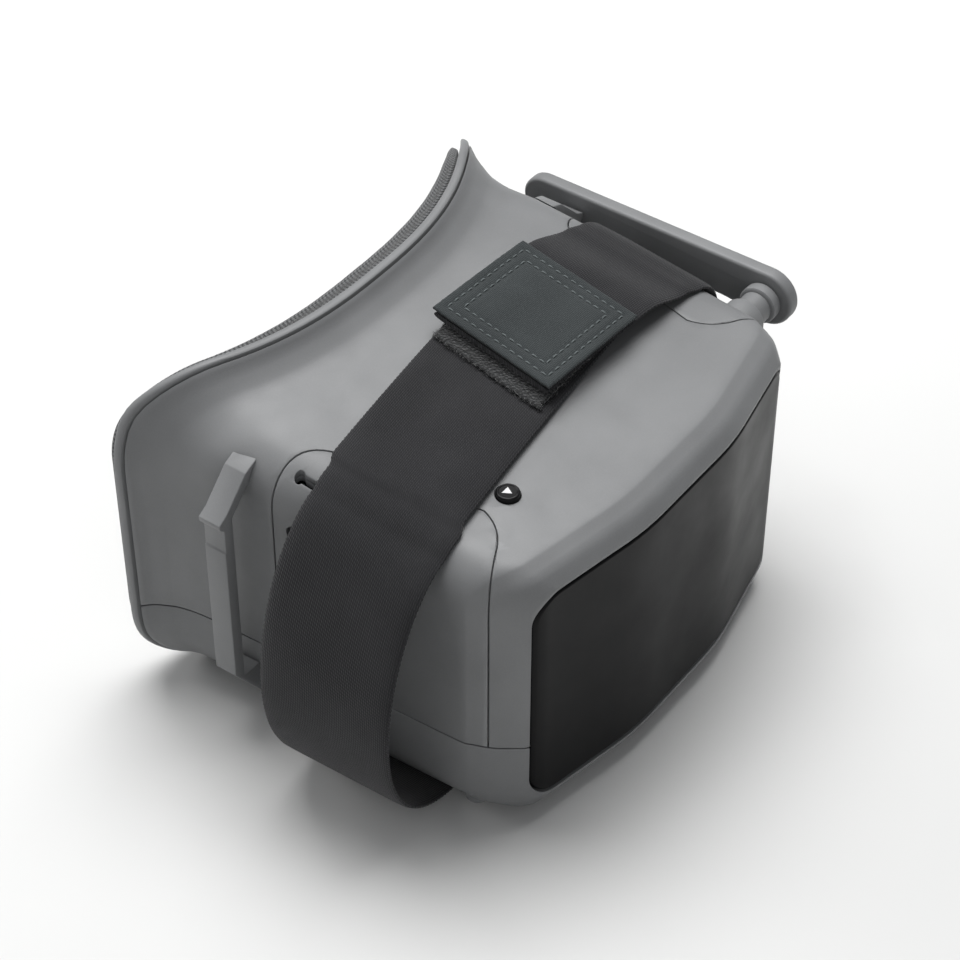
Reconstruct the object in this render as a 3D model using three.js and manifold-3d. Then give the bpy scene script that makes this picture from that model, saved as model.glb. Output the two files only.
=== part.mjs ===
// Box-type FPV goggles: a moulded hood with a near-black front plate, a flared face rim with a foam
// cushion, two strap brackets, a fold-up antenna on the wearer's left, and the head strap wrapped
// round the body and closed on its own hook-and-loop pads.
// Millimetres. +Z up, -Y the front plate, +Y the face side, +X the wearer's left.
// The part's origin is on the centre plane, on the strap's underside, which it rests on. The pieces are
// drawn with y = 0 at the front plate and moved there together at the end.
import * as THREE from "three";
import { mergeVertices } from "three/addons/utils/BufferGeometryUtils.js";
import Module from "manifold-3d";

const wasm = await Module();
wasm.setup();

// ---- Driving dimensions ---------------------------------------------------------------------

// The hood, from the rim of the front plate back to the face rim. t runs from the front outline (0)
// to the face curve (1), dy moves a station along Y; w is half the width, r the corner radius.
const HOOD = [
  { t: 0, dy: 0, w: 52, top: 73.4, bottom: 6.8, r: 7 },
  { t: 0, dy: 2.5, w: 56.5, top: 76.8, bottom: 3.5, r: 9 },
  { t: 0, dy: 6, w: 58.5, top: 78.6, bottom: 2.4, r: 10.4 },
  { t: 0.14, dy: 0, w: 59.2, top: 79.4, bottom: 2.3, r: 10.5 },
  { t: 0.45, dy: 0, w: 60.4, top: 82.2, bottom: 2.3, r: 10.5 },
  { t: 0.74, dy: 0, w: 61.6, top: 84.8, bottom: 2.3, r: 12 },
  { t: 0.84, dy: 0, w: 62.2, top: 85.8, bottom: 2.2, r: 15 },
  { t: 0.895, dy: 0, w: 63.3, top: 87, bottom: 2, r: 17 },
  { t: 0.935, dy: 0, w: 65.4, top: 89.2, bottom: 1.4, r: 19.5 },
  { t: 1, dy: -2.95, w: 68.4, top: 92.4, bottom: 0.5, r: 22.5 },
];
const CROWN = 1; // how far the top falls from the centre line to the sides
const WALL = 2.6;
const PARTING_Z = 26; // between the upper and the lower shell
const SEAM = 0.36; // the gap that shows between two shells
const CLEAR = 0.3; // between pieces that touch

const FRONT_FLAT = 18; // half width of the flat middle of the front
const FRONT_SWEEP = { x: 50, y: 6.5 }; // where the gentle sweep ends
const FRONT_CORNER = { x: 58, y: 13.7 };
const FACE_TOP = { centre: 89.5, rise: 20 }; // the forehead curve in plan
const FACE_BOTTOM = { centre: 97, rise: 13 };
const FACE_HALF = 62;
const FACE_POWER = 2.5;
const LIP_TOP = 93.2;
const LIP_HALF = 69.3;

const PLATE = 2; // front plate thickness
const OPTIC_Z = 40.5; // height of the optical axis
const LENS_Y = 72.5;
const SCREEN_Y = 23.6;

const ORIGIN_Y = 48.7; // the part's origin, behind the front plate
const PANEL = { front: 14.5, rear: 71.7, frontIn: 40.5, rearIn: 46.5, skin: 1.3 };
const BRACKET = { front: 78.1, rear: 84.2, slot: 5.4 }; // slot: from the wall to the bar
// The bracket's outline from its root at the top to its foot: distance from the wall, and height.
const BRACKET_LINE = [
  [-4, 81],
  [0, 79.3],
  [7.2, 72.1],
  [9.9, 70.6],
  [9.7, 69.2],
  [8.3, 67.9],
  [8.3, 61.6],
  [8.6, 61.2],
  [8.6, 22],
  [0, 10],
  [-4, 10],
];

// The strap crosses the body at a slight angle: y is its middle on the centre plane, skew its slope.
const STRAP = { width: 35, y: 50.9, skew: 0.105, thick: 1.4, gap: 0.8 };
const LOOSE = { out: 27, fall: 8, low: 34 }; // how the loose side stands away from the body
const UNDER_END = 30; // where the lower end of the strap stops
// The upper end runs at its own angle, about x = 12, and its free end leans.
const PATCH = { thick: 1, from: -5, to: 28.5, width: 35.5, y: 51.3, skew: -0.05, lean: 0.12 };
const PAD = { thick: 0.8, to: 27, loopFrom: -8.5, hookFrom: -3, loopY: 51.6, loopSkew: 0.03 };

const ANTENNA = { y: 25, z: 67.3, in: 72, out: 76, disc: 7.5, tip: 97, low: 62.8, high: 74.8 };
const BOSS = { base: 5.4, baseEnd: 63.5, neck: 4.1, collar: 5, collarStart: 68.5 };
const PIN_R = 1.6;

const KEY_X = -33.5;
const KEYS = [
  { name: "key_up", y: 26.8, proud: 0.9 },
  { name: "key_down", y: 41.5, proud: 0.15 },
  { name: "key_menu", y: 55.5, proud: 0.15 },
];
const KEY_R = 2.75;
const BOARD_Z = 72.9;
const POWER = { y: 24, z: 46, r: 4.3, proud: 1 };
const SCREWS = [
  ["front_right", -53.5, 20.5],
  ["front_left", 53.5, 20.5],
  ["rear_right", -54.5, 69.4],
  ["rear_left", 54.5, 69.4],
];
const PILLAR_R = 2.9;
const SCREW_HEAD_Z = 16;

// ---- Form of the body -----------------------------------------------------------------------

const lerp = THREE.MathUtils.lerp;

// Plan outline of the front: flat middle, gentle sweep back, tighter corner.
function frontY(x) {
  const a = Math.abs(x);
  if (a <= FRONT_FLAT) return 0;
  if (a <= FRONT_SWEEP.x)
    return (FRONT_SWEEP.y * (a - FRONT_FLAT)) / (FRONT_SWEEP.x - FRONT_FLAT);
  const along = Math.min(1, (a - FRONT_SWEEP.x) / (FRONT_CORNER.x - FRONT_SWEEP.x));
  return lerp(FRONT_SWEEP.y, FRONT_CORNER.y, along);
}

// The face curve: concave across the forehead, flatter over the cheeks.
function faceY(x, z) {
  const bow = Math.min(1.04, Math.abs(x) / FACE_HALF) ** FACE_POWER;
  const low = FACE_BOTTOM.centre + FACE_BOTTOM.rise * bow;
  const high = FACE_TOP.centre + FACE_TOP.rise * bow;
  return lerp(low, high, THREE.MathUtils.clamp(z / LIP_TOP, 0, 1));
}

const FLAT_STEPS = [-1, -0.75, -0.56, -0.38, -0.19, 0, 0.19, 0.38, 0.56, 0.75, 1];
const ARC_STEPS = 5;

// A rounded rectangle as columns, each an x with its upper and its lower z.
function columns({ w, top, bottom, r }) {
  const out = [];
  const add = (x, drop) =>
    out.push({ x, up: top - drop - CROWN * (x / w) ** 2, down: bottom + drop });
  const arc = (k) => (Math.PI / 2) * (k / ARC_STEPS);
  for (let k = ARC_STEPS; k > 0; k--)
    add(-(w - r) - r * Math.sin(arc(k)), r * (1 - Math.cos(arc(k))));
  for (const f of FLAT_STEPS) add(f * (w - r), 0);
  for (let k = 1; k <= ARC_STEPS; k++)
    add(w - r + r * Math.sin(arc(k)), r * (1 - Math.cos(arc(k))));
  return out;
}

// The hood's outer size at a plain distance y behind the front, near the side walls.
function sizeAt(y) {
  const t = (y - FRONT_CORNER.y) / (faceY(FACE_HALF, OPTIC_Z) - FRONT_CORNER.y);
  const rows = HOOD.filter((s) => s.dy === 0 && s.t > 0);
  let i = 0;
  while (i < rows.length - 2 && rows[i + 1].t < t) i++;
  const [a, b] = [rows[i], rows[i + 1]];
  const f = (t - a.t) / (b.t - a.t);
  const mix = (key) => lerp(a[key], b[key], f);
  return { w: mix("w"), top: mix("top"), bottom: mix("bottom"), r: mix("r") };
}

// Height of the top surface at a point of the plan.
function topZ(x, y) {
  const t = (y - frontY(x)) / (faceY(x, LIP_TOP) - frontY(x));
  const size = sizeAt(lerp(FRONT_CORNER.y, faceY(FACE_HALF, OPTIC_Z), t));
  return size.top - CROWN * (x / size.w) ** 2;
}

// ---- Solids ---------------------------------------------------------------------------------

function toSolid(geometry) {
  const bare = geometry.index ? geometry.toNonIndexed() : geometry.clone();
  bare.deleteAttribute("normal");
  bare.deleteAttribute("uv");
  const merged = mergeVertices(bare, 1e-4);
  const vertProperties = new Float32Array(merged.attributes.position.array);
  const triVerts = new Uint32Array(merged.index.array);
  return new wasm.Manifold(new wasm.Mesh({ numProp: 3, vertProperties, triVerts }));
}

function toGeometry(solid) {
  const { vertProperties, triVerts } = solid.getMesh();
  const geometry = new THREE.BufferGeometry();
  geometry.setAttribute("position", new THREE.BufferAttribute(vertProperties, 3));
  geometry.setIndex(new THREE.BufferAttribute(triVerts, 1));
  geometry.computeVertexNormals();
  return geometry;
}

// A closed form through stations, each a row of point pairs: the pairs close its two ends.
function ribbon(stations) {
  const n = stations[0].length;
  const ring = (row) => [...row.map((p) => p[0]), ...row.map((p) => p[1]).reverse()];
  const rings = stations.map(ring);
  const points = rings.flat();
  const faces = [];
  const quad = (a, b, c, d) => faces.push([a, b, c], [a, c, d]);
  rings.slice(1).forEach((_, s) => {
    for (let i = 0; i < 2 * n; i++) {
      const j = (i + 1) % (2 * n);
      const [low, high] = [s * 2 * n, (s + 1) * 2 * n];
      quad(low + i, low + j, high + j, high + i);
    }
  });
  const last = (rings.length - 1) * 2 * n;
  for (let i = 0; i < n - 1; i++) {
    const [a, b, c, d] = [i, 2 * n - 1 - i, 2 * n - 2 - i, i + 1];
    quad(a, b, c, d);
    quad(last + d, last + c, last + b, last + a);
  }
  let volume = 0;
  for (const [a, b, c] of faces)
    volume += points[a].dot(new THREE.Vector3().crossVectors(points[b], points[c]));
  const turned = volume < 0 ? faces.map(([a, b, c]) => [a, c, b]) : faces;
  const geometry = new THREE.BufferGeometry().setFromPoints(points);
  geometry.setIndex(turned.flat());
  return toSolid(geometry);
}

// The hood's form through given stations.
function hoodForm(stations) {
  return ribbon(
    stations.map((s) =>
      columns(s).map(({ x, up, down }) =>
        [up, down].map(
          (z) => new THREE.Vector3(x, lerp(frontY(x), faceY(x, z), s.t) + s.dy * (s.ease?.(x) ?? 1), z),
        ),
      ),
    ),
  );
}

// The hood's whole form moved inwards; its front lies `front` further back, its end `rear` further.
function hood({ inset = 0, front = 0, rear = 0 } = {}) {
  return hoodForm(
    HOOD.map((s, i) => ({
      t: s.t,
      dy: s.dy + (s.t === 0 ? front : 0) + (i === HOOD.length - 1 ? rear : 0),
      w: s.w - inset,
      top: s.top - inset,
      bottom: s.bottom + inset,
      r: s.r - inset,
    })),
  );
}

// A ring slice at the face curve, from stations of dy and a rounded rectangle. Past the first station,
// ease scales dy along x.
const faceForm = (rows, ease) =>
  hoodForm(
    rows.map(([dy, w, top, bottom, r], i) => {
      return { t: 1, dy, w, top, bottom, r, ease: i > 0 ? ease : undefined };
    }),
  );

const AXES = {
  x: [[0, 1, 0], [0, 0, 1], [1, 0, 0]],
  y: [[1, 0, 0], [0, 0, 1], [0, -1, 0]],
  z: [[1, 0, 0], [0, 1, 0], [0, 0, 1]],
};

// A flat shape pushed along an axis: along x it is drawn in (y, z), along y in (x, z).
function prism(shape, axis, from, to, arcSides = 6) {
  const depth = to - from;
  const curveSegments = arcSides / 2; // three.js gives an arc twice as many sides
  const geometry = new THREE.ExtrudeGeometry(shape, { depth, bevelEnabled: false, curveSegments });
  const basis = AXES[axis].map((v) => new THREE.Vector3(...v));
  geometry.applyMatrix4(new THREE.Matrix4().makeBasis(...basis));
  const start = axis === "y" ? to : from;
  geometry.translate(axis === "x" ? start : 0, axis === "y" ? start : 0, axis === "z" ? start : 0);
  return toSolid(geometry);
}

function rectangle(x0, y0, x1, y1, r = 0) {
  const s = new THREE.Shape();
  if (!r) return s.moveTo(x0, y0).lineTo(x1, y0).lineTo(x1, y1).lineTo(x0, y1).closePath();
  s.moveTo(x0 + r, y0).lineTo(x1 - r, y0).absarc(x1 - r, y0 + r, r, -Math.PI / 2, 0, false);
  s.lineTo(x1, y1 - r).absarc(x1 - r, y1 - r, r, 0, Math.PI / 2, false);
  s.lineTo(x0 + r, y1).absarc(x0 + r, y1 - r, r, Math.PI / 2, Math.PI, false);
  return s.lineTo(x0, y0 + r).absarc(x0 + r, y0 + r, r, Math.PI, 1.5 * Math.PI, false);
}

const disc = (x, y, r) => new THREE.Shape().absarc(x, y, r, 0, 2 * Math.PI, false);
const rod = (axis, x, y, r, from, to, sides = 20) => prism(disc(x, y, r), axis, from, to, sides);
const block = (x0, y0, z0, x1, y1, z1, r = 0) =>
  prism(rectangle(x0, y0, x1, y1, r), "z", z0, z1, 2);
const plateY = (half, z0, z1, r, from, to) =>
  prism(rectangle(-half, z0, half, z1, r), "y", from, to, 4);
const lathe = (points, x, y) => {
  const profile = points.map(([r, z]) => new THREE.Vector2(r, z));
  const geometry = new THREE.LatheGeometry(profile, 16);
  return toSolid(geometry.rotateX(Math.PI / 2).translate(x, y, 0));
};
const polygon = (points) => new THREE.Shape(points.map(([x, y]) => new THREE.Vector2(x, y)));
const mirrored = (solid) => solid.mirror([1, 0, 0]);

// ---- Scene graph ----------------------------------------------------------------------------

const FINISH = {
  shell: { color: 0x6f7072, roughness: 0.55, metalness: 0 },
  black: { color: 0x141415, roughness: 0.25, metalness: 0 },
  trim: { color: 0x2b2c2e, roughness: 0.6, metalness: 0 },
  foam: { color: 0x2f3032, roughness: 0.95, metalness: 0 },
  webbing: { color: 0x303133, roughness: 0.9, metalness: 0 },
  lens: { color: 0xdfe6ea, roughness: 0.05, metalness: 0, transparent: true, opacity: 0.35 },
  board: { color: 0x14402a, roughness: 0.5, metalness: 0 },
  metal: { color: 0x9a9ca0, roughness: 0.35, metalness: 1 },
  wrap: { color: 0x3d4a68, roughness: 0.5, metalness: 0 },
};

const goggles = new THREE.Group();
function place(name, finish, solid) {
  const mesh = new THREE.Mesh(
    toGeometry(solid),
    new THREE.MeshStandardMaterial(FINISH[finish]),
  );
  mesh.name = name;
  goggles.add(mesh);
}

// ---- Shells and side panels -----------------------------------------------------------------

const outer = hood();
const inner = hood({ inset: WALL, front: WALL + PLATE + CLEAR, rear: 9 });
const aboveParting = block(-90, -10, PARTING_Z + SEAM / 2, 90, 130, 110);
const belowParting = block(-90, -10, -10, 90, 130, PARTING_Z - SEAM / 2);

// The front plate's form, grown by `grow` and reaching back to `back`.
function frontPlate(grow, from, back) {
  const rim = { ...HOOD[0], w: HOOD[0].w - 1.2 + grow, top: HOOD[0].top - 1.2 + grow };
  const size = { ...rim, bottom: HOOD[0].bottom + 1.2 - grow, r: HOOD[0].r + grow };
  return hoodForm([
    { ...size, dy: from },
    { ...size, dy: back },
  ]);
}

// Plan of the wearer's right side panel: over the shoulder and down the wall.
function panelPlan(shrink) {
  const { front, rear, frontIn, rearIn } = PANEL;
  const s = new THREE.Shape();
  s.moveTo(-90, front + shrink).lineTo(-58, front + shrink).lineTo(-47.5, front + 5 + shrink);
  s.quadraticCurveTo(-frontIn - 1.5 - shrink, front + 8, -frontIn - shrink, front + 13.5);
  s.lineTo(-(frontIn + 1) - shrink, front + 19);
  s.lineTo(-rearIn - shrink, rear - 12);
  s.quadraticCurveTo(-rearIn - shrink - 0.8, rear - shrink, -rearIn - 6, rear - shrink);
  return s.lineTo(-90, rear - shrink);
}

const panelCut = prism(panelPlan(0), "z", PARTING_Z + SEAM / 2, 100, 12);
const panelBody = prism(panelPlan(SEAM), "z", PARTING_Z + SEAM / 2, 100, 12);
const behindPanel = hood({ inset: PANEL.skin + CLEAR, rear: 9 });
const panelSkin = hood({ inset: PANEL.skin, rear: 9 });

const notch = new THREE.Shape();
notch.moveTo(-21, -6).lineTo(-14.5, 10).absarc(0, 10, 14.5, Math.PI, 0, true).lineTo(21, -6);
const noseCut = prism(notch, "y", 78, 130, 12);

const keyHoles = KEYS.map((k) => rod("z", KEY_X, k.y, KEY_R + 0.25, 70, 100));
const powerHole = rod("x", POWER.y, POWER.z, POWER.r + 0.3, 40, 80);
const pinHole = rod("x", ANTENNA.y, ANTENNA.z, PIN_R + 0.3, 40, 66);
const sdSlot = prism(rectangle(-57, 50.5, -55.4, 66.8, 0.6), "z", 70, 100, 2).add(
  rod("z", -56.2, 66.8, 1.25, 70, 100, 12),
);
const jackHole = rod("x", 65.5, 67, 2.3, -80, -50, 18);
const usbHole = prism(rectangle(64.6, 39, 68.2, 49.2, 1.75), "x", -80, -50, 4);

function screwPillar([, x, y], low, high) {
  const side = Math.sign(x);
  const wall = side * (sizeAt(y).w - WALL / 2);
  const rib = block(Math.min(x, wall), y - 1.6, low, Math.max(x, wall), y + 1.6, high);
  return rod("z", x, y, PILLAR_R, low, high, 16).add(rib);
}

let shell = outer.subtract(inner).subtract(frontPlate(CLEAR, -2, PLATE + CLEAR));
for (const screw of SCREWS) {
  const [, x, y] = screw;
  shell = shell.add(screwPillar(screw, 8, 32));
  shell = shell.subtract(rod("z", x, y, 1.4, SCREW_HEAD_Z, 31));
  shell = shell.subtract(rod("z", x, y, 2.7, -5, SCREW_HEAD_Z + 1.8));
}
const panelSeat = panelCut.add(mirrored(panelCut)).subtract(behindPanel);
let upper = shell.intersect(aboveParting).subtract(panelSeat);
for (const hole of [...keyHoles, powerHole, pinHole, sdSlot, jackHole, usbHole])
  upper = upper.subtract(hole);
place("upper_shell", "shell", upper);
place("lower_shell", "shell", shell.intersect(belowParting).subtract(noseCut));

const rightPanel = outer.subtract(panelSkin).intersect(panelBody);
place("side_panel_right", "shell", rightPanel.subtract(sdSlot).subtract(jackHole).subtract(usbHole));
place("side_panel_left", "shell", mirrored(rightPanel).subtract(powerHole).subtract(pinHole));
place("front_plate", "black", frontPlate(0, 0, PLATE));

// ---- Face rim, cushion and nose shield ------------------------------------------------------

const rim = faceForm([
  [-2.5, LIP_HALF - 0.6, LIP_TOP - 0.6, 0.4, 23],
  [-1.6, LIP_HALF, LIP_TOP, 0, 23.5],
  [-0.7, LIP_HALF, LIP_TOP, 0, 23.5],
  [0, LIP_HALF - 0.7, LIP_TOP - 0.7, 0.6, 23],
]);
const rimHole = faceForm([
  [-9, 56, 80.5, 13, 15],
  [9, 56, 80.5, 13, 15],
]);
place("face_frame", "shell", rim.subtract(rimHole).subtract(noseCut));

const thinner = (x) => 1 - 0.42 * Math.min(1, Math.abs(x) / 62) ** 2; // the cushion towards its sides
const cushion = faceForm(
  [
    [2 * CLEAR, 66.6, 90.2, 3, 21],
    [3.6, 66.6, 90.2, 3, 21],
    [5.4, 65.4, 89, 4.2, 20],
    [6.2, 63.4, 87, 6.2, 18],
  ],
  thinner,
);
const cushionHole = faceForm(
  [
    [-9, 57, 81.5, 12, 15],
    [4.6, 57, 81.5, 12, 15],
    [9, 61, 85.5, 8, 17],
  ],
  thinner,
);
place("face_cushion", "foam", cushion.subtract(cushionHole).subtract(noseCut));

function noseArch(grow) {
  const s = new THREE.Shape();
  s.moveTo(-14.5 - grow, 2.9).lineTo(-14.5 - grow, 10);
  s.absarc(0, 10, 14.5 + grow, Math.PI, 0, true);
  return s.lineTo(14.5 + grow, 2.9);
}
const noseShield = prism(noseArch(-CLEAR), "y", 79, 112, 12)
  .subtract(prism(noseArch(-CLEAR - 1.8), "y", 70, 130, 12))
  .intersect(faceForm([
    [-19, 40, 60, -10, 5],
    [3, 40, 60, -10, 5],
  ]));
const underNose = block(-13.5, 70, -5, 13.5, 130, 4);
place("nose_shield", "trim", noseShield.subtract(underNose));

// ---- Strap brackets -------------------------------------------------------------------------

const keepOff = hood({ inset: -CLEAR });
const bracketWall = sizeAt((BRACKET.front + BRACKET.rear) / 2).w;
const bracketShape = polygon(BRACKET_LINE.map(([out, z]) => [bracketWall + out, z]));
const bracketSlot = polygon([
  [50, 19.5],
  [bracketWall + BRACKET.slot, 19.5],
  [bracketWall + BRACKET.slot, 69.8],
  [bracketWall, 75.5],
  [50, 75.5],
]);
const bracket = prism(bracketShape, "y", BRACKET.front, BRACKET.rear)
  .subtract(prism(bracketSlot, "y", 70, 99))
  .subtract(keepOff);
place("strap_bracket_left", "shell", bracket);
place("strap_bracket_right", "shell", mirrored(bracket));

// ---- Optics and screen ----------------------------------------------------------------------

const [optLow, optHigh] = [OPTIC_Z - 29, OPTIC_Z + 29];
place(
  "lens_frame",
  "trim",
  hood({ inset: WALL + 0.5, front: 12, rear: 9 })
    .intersect(block(-90, LENS_Y, -5, 90, LENS_Y + 5, 110))
    .subtract(plateY(48, optLow, optHigh, 10, 60, 90))
    .subtract(plateY(51, optLow - 3, optHigh + 3, 12, LENS_Y + 2.6, 90)),
);
place("fresnel_lens", "lens", plateY(50.7, optLow - 2.7, optHigh + 2.7, 12, LENS_Y + 2.9, LENS_Y + 4.7));
place(
  "light_baffle",
  "trim",
  plateY(50, optLow - 2, optHigh + 1.6, 8, SCREEN_Y + 5.1, LENS_Y - CLEAR).subtract(
    plateY(48.5, optLow - 0.5, optHigh + 0.1, 7, SCREEN_Y, LENS_Y + 5),
  ),
);
place(
  "screen_holder",
  "trim",
  plateY(53.4, 7.4, 72.5, 3, SCREEN_Y, SCREEN_Y + 4.8)
    .subtract(plateY(52, 9.2, 71.7, 1, SCREEN_Y - 1, SCREEN_Y + 3.5))
    .subtract(plateY(47.6, optLow + 1.8, optHigh - 1.8, 1, SCREEN_Y, SCREEN_Y + 9)),
);
place("screen_panel", "black", plateY(51.7, 9.5, 71.4, 0.8, SCREEN_Y, SCREEN_Y + 3.2));

// ---- Electronics ----------------------------------------------------------------------------

place("main_board", "board", plateY(46, 14, 68, 2, 18.2, 19.8));
place("receiver_module", "metal", block(14, 14.6, 50, 40, 17.9, 66, 0.8));
place("battery_pack", "wrap", plateY(30, 12, 48, 2.5, 8.4, 14.2));
place("buzzer", "black", rod("y", -30, 60, 5, 15, 17.9));

function leadGeometry() {
  const route = [
    [36, 16.2, 66.4],
    [37, 16.2, 69],
    [42, 17.2, 72],
    [48, 19.4, 72.4],
    [53, 21.6, 69.5],
  ];
  const extrudePath = new THREE.CatmullRomCurve3(route.map((p) => new THREE.Vector3(...p)));
  return new THREE.ExtrudeGeometry(disc(0, 0, 0.65), { steps: 12, extrudePath, curveSegments: 4 });
}
place("antenna_lead", "black", toSolid(leadGeometry()));

place("control_board", "board", block(-53.6, 23, BOARD_Z, -22, 70, BOARD_Z + 1.2, 1));
place("sd_card_socket", "metal", block(-56.6, 50.2, 58.5, -53.3, 61.9, 72));
place("port_board", "board", prism(rectangle(50, 36, 69.5, 71, 1), "x", -53, -51.8, 2));
place(
  "av_jack",
  "black",
  prism(rectangle(62.3, 63.8, 68.7, 70.2, 0.6), "x", -58, -53.3, 2).subtract(
    rod("x", 65.5, 67, 1.8, -70, -54.5, 18),
  ),
);
place(
  "usb_port",
  "metal",
  prism(rectangle(64.9, 39.3, 67.9, 48.9, 1.45), "x", -59.2, -53.3, 4).subtract(
    prism(rectangle(65.3, 39.7, 67.5, 48.5, 1.05), "x", -70, -54.5, 4),
  ),
);

// ---- Keys -----------------------------------------------------------------------------------

for (const { name, y, proud } of KEYS) {
  const surface = topZ(KEY_X, y);
  const cap = [
    [0, 76.4],
    [1.4, 76.4],
    [1.4, surface - 2.2],
    [KEY_R, surface - 2.2],
    [KEY_R, surface + proud - 0.35],
    [KEY_R - 0.35, surface + proud],
    [0, surface + proud],
  ];
  place(name, "black", lathe(cap.map(([r, z]) => [r, -z]).reverse(), KEY_X, y).mirror([0, 0, 1]));
  const half = 2.2;
  const switchBody = block(KEY_X - half, y - half, BOARD_Z + 1.5, KEY_X + half, y + half, 75.5, 0.5);
  place(name.replace("key", "switch"), "metal", switchBody);
}
const powerWall = sizeAt(POWER.y).w;
place(
  "power_button",
  "black",
  rod("x", POWER.y, POWER.z, POWER.r, powerWall - 2.8, powerWall + POWER.proud - 0.4).add(
    rod("x", POWER.y, POWER.z, POWER.r - 0.4, powerWall - 1, powerWall + POWER.proud),
  ),
);
place("power_switch", "metal", block(53.8, 21, 43, 55.2, 27, 49));

// ---- Antenna --------------------------------------------------------------------------------

const { y: pivotY, z: pivotZ } = ANTENNA;
const endR = (ANTENNA.high - ANTENNA.low) / 2;
const bladeShape = new THREE.Shape();
bladeShape.moveTo(pivotY, pivotZ + ANTENNA.disc);
bladeShape.lineTo(ANTENNA.tip - endR, ANTENNA.high);
bladeShape.absarc(ANTENNA.tip - endR, ANTENNA.low + endR, endR, Math.PI / 2, -Math.PI / 2, true);
bladeShape.lineTo(pivotY + 12, ANTENNA.low);
bladeShape.lineTo(pivotY + 4.8, pivotZ - 5.8);
bladeShape.absarc(pivotY, pivotZ, ANTENNA.disc, -0.28 * Math.PI, -1.5 * Math.PI, true);
place(
  "antenna_blade",
  "shell",
  prism(bladeShape, "x", ANTENNA.in, ANTENNA.out, 16).subtract(
    rod("x", pivotY, pivotZ, PIN_R + 0.15, 60, 80),
  ),
);
place(
  "antenna_boss",
  "shell",
  rod("x", pivotY, pivotZ, BOSS.base, 50, BOSS.baseEnd, 24)
    .add(rod("x", pivotY, pivotZ, BOSS.neck, 50, ANTENNA.in - CLEAR, 24))
    .add(rod("x", pivotY, pivotZ, BOSS.collar, BOSS.collarStart, ANTENNA.in - CLEAR, 24))
    .subtract(rod("x", pivotY, pivotZ, PIN_R + 0.15, 40, 80))
    .subtract(keepOff),
);
place(
  "antenna_pin",
  "metal",
  rod("x", pivotY, pivotZ, PIN_R, 55, ANTENNA.out + CLEAR + 0.3).add(
    rod("x", pivotY, pivotZ, 3, ANTENNA.out + CLEAR, ANTENNA.out + 1.5),
  ),
);

// ---- Head strap -----------------------------------------------------------------------------

const strapHalf = STRAP.thick / 2;
const underOffset = STRAP.gap + strapHalf;
const stack = STRAP.thick + 2 * PAD.thick + 3 * CLEAR; // from one strap layer up to the next

// The middle of the lower layer and of the upper end at a given x; across is measured from it.
const lowY = (x, across) => STRAP.y + STRAP.skew * x + across;
const highY = (x, across) => PATCH.y + PATCH.skew * (x - 12) + across;

// A line along the strap at one place across it, from its under end round to its upper end.
function strapPath(across) {
  const path = [];
  const add = (x, y, z) => path.push(new THREE.Vector3(x, y, z));
  const onTop = (x, y, lift) => add(x, y, topZ(x, y) + underOffset + lift);
  const shoulder = (side, angle, y) => {
    const { w, r, top } = sizeAt(y);
    const x = w - r + (r + underOffset) * Math.sin(angle);
    const fall = CROWN * (Math.min(x, w) / w) ** 2;
    add(side * x, y, top - fall - r + (r + underOffset) * Math.cos(angle));
  };
  const rightY = lowY(-60, across);
  const right = sizeAt(rightY);
  for (let i = 0; i < 10; i++) {
    const x = lerp(UNDER_END, -(right.w - right.r), i / 10);
    onTop(x, lowY(x, across), 0);
  }
  for (const angle of [0.15, 0.4, 0.7]) shoulder(-1, angle, rightY);
  const leave = path.at(-1);
  const lowZ = strapHalf;
  const loose = new THREE.CubicBezierCurve(
    new THREE.Vector2(leave.x, leave.z),
    new THREE.Vector2(leave.x - LOOSE.out, leave.z - LOOSE.fall),
    new THREE.Vector2(-right.w - LOOSE.low, lowZ),
    new THREE.Vector2(-(right.w - 14), lowZ),
  );
  for (const p of loose.getPoints(14).slice(1)) add(p.x, lerp(rightY, lowY(p.x, across), 0.5), p.y);
  const footY = lowY(60, across);
  const left = sizeAt(footY);
  for (const x of [-24, 0, 24, left.w - left.r]) add(x, lowY(x, across), lowZ);
  const foot = left.bottom + left.r - lowZ;
  for (const angle of [0.5, 1, 1.5708]) {
    const x = left.w - left.r + (left.r + underOffset) * Math.sin(angle);
    add(x, footY, left.bottom + left.r - foot * Math.cos(angle));
  }
  const upperY = highY(60, across);
  add(left.w + underOffset, lerp(footY, upperY, 0.5), OPTIC_Z);
  for (const angle of [1.5708, 1.2, 0.85, 0.5, 0.15]) shoulder(1, angle, upperY);
  const rise = [[46, 0.12], [UNDER_END + 5.5, 0.72]];
  for (const [x, share] of rise) onTop(x, highY(x, across), stack * share);
  for (let i = 0; i <= 5; i++) {
    const x = lerp(UNDER_END + 1.5, PATCH.from, i / 5) + (PATCH.lean * across * i) / 5;
    onTop(x, highY(x, across), stack);
  }
  return path;
}

// Pairs of points either side of the path.
function band(path) {
  return path.map((p, i) => {
    const before = path[Math.max(0, i - 1)];
    const after = path[Math.min(path.length - 1, i + 1)];
    const along = new THREE.Vector2(after.x - before.x, after.z - before.z).normalize();
    const side = new THREE.Vector2(-along.y, along.x).multiplyScalar(strapHalf);
    return [1, -1].map(
      (s) => new THREE.Vector3(p.x + s * side.x, p.y, Math.max(0, p.z + s * side.y)),
    );
  });
}
const strapRows = [-0.5, -0.17, 0.17, 0.5].map((f) => f * STRAP.width);
place("head_strap", "webbing", ribbon(strapRows.map((across) => band(strapPath(across)))));

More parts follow.
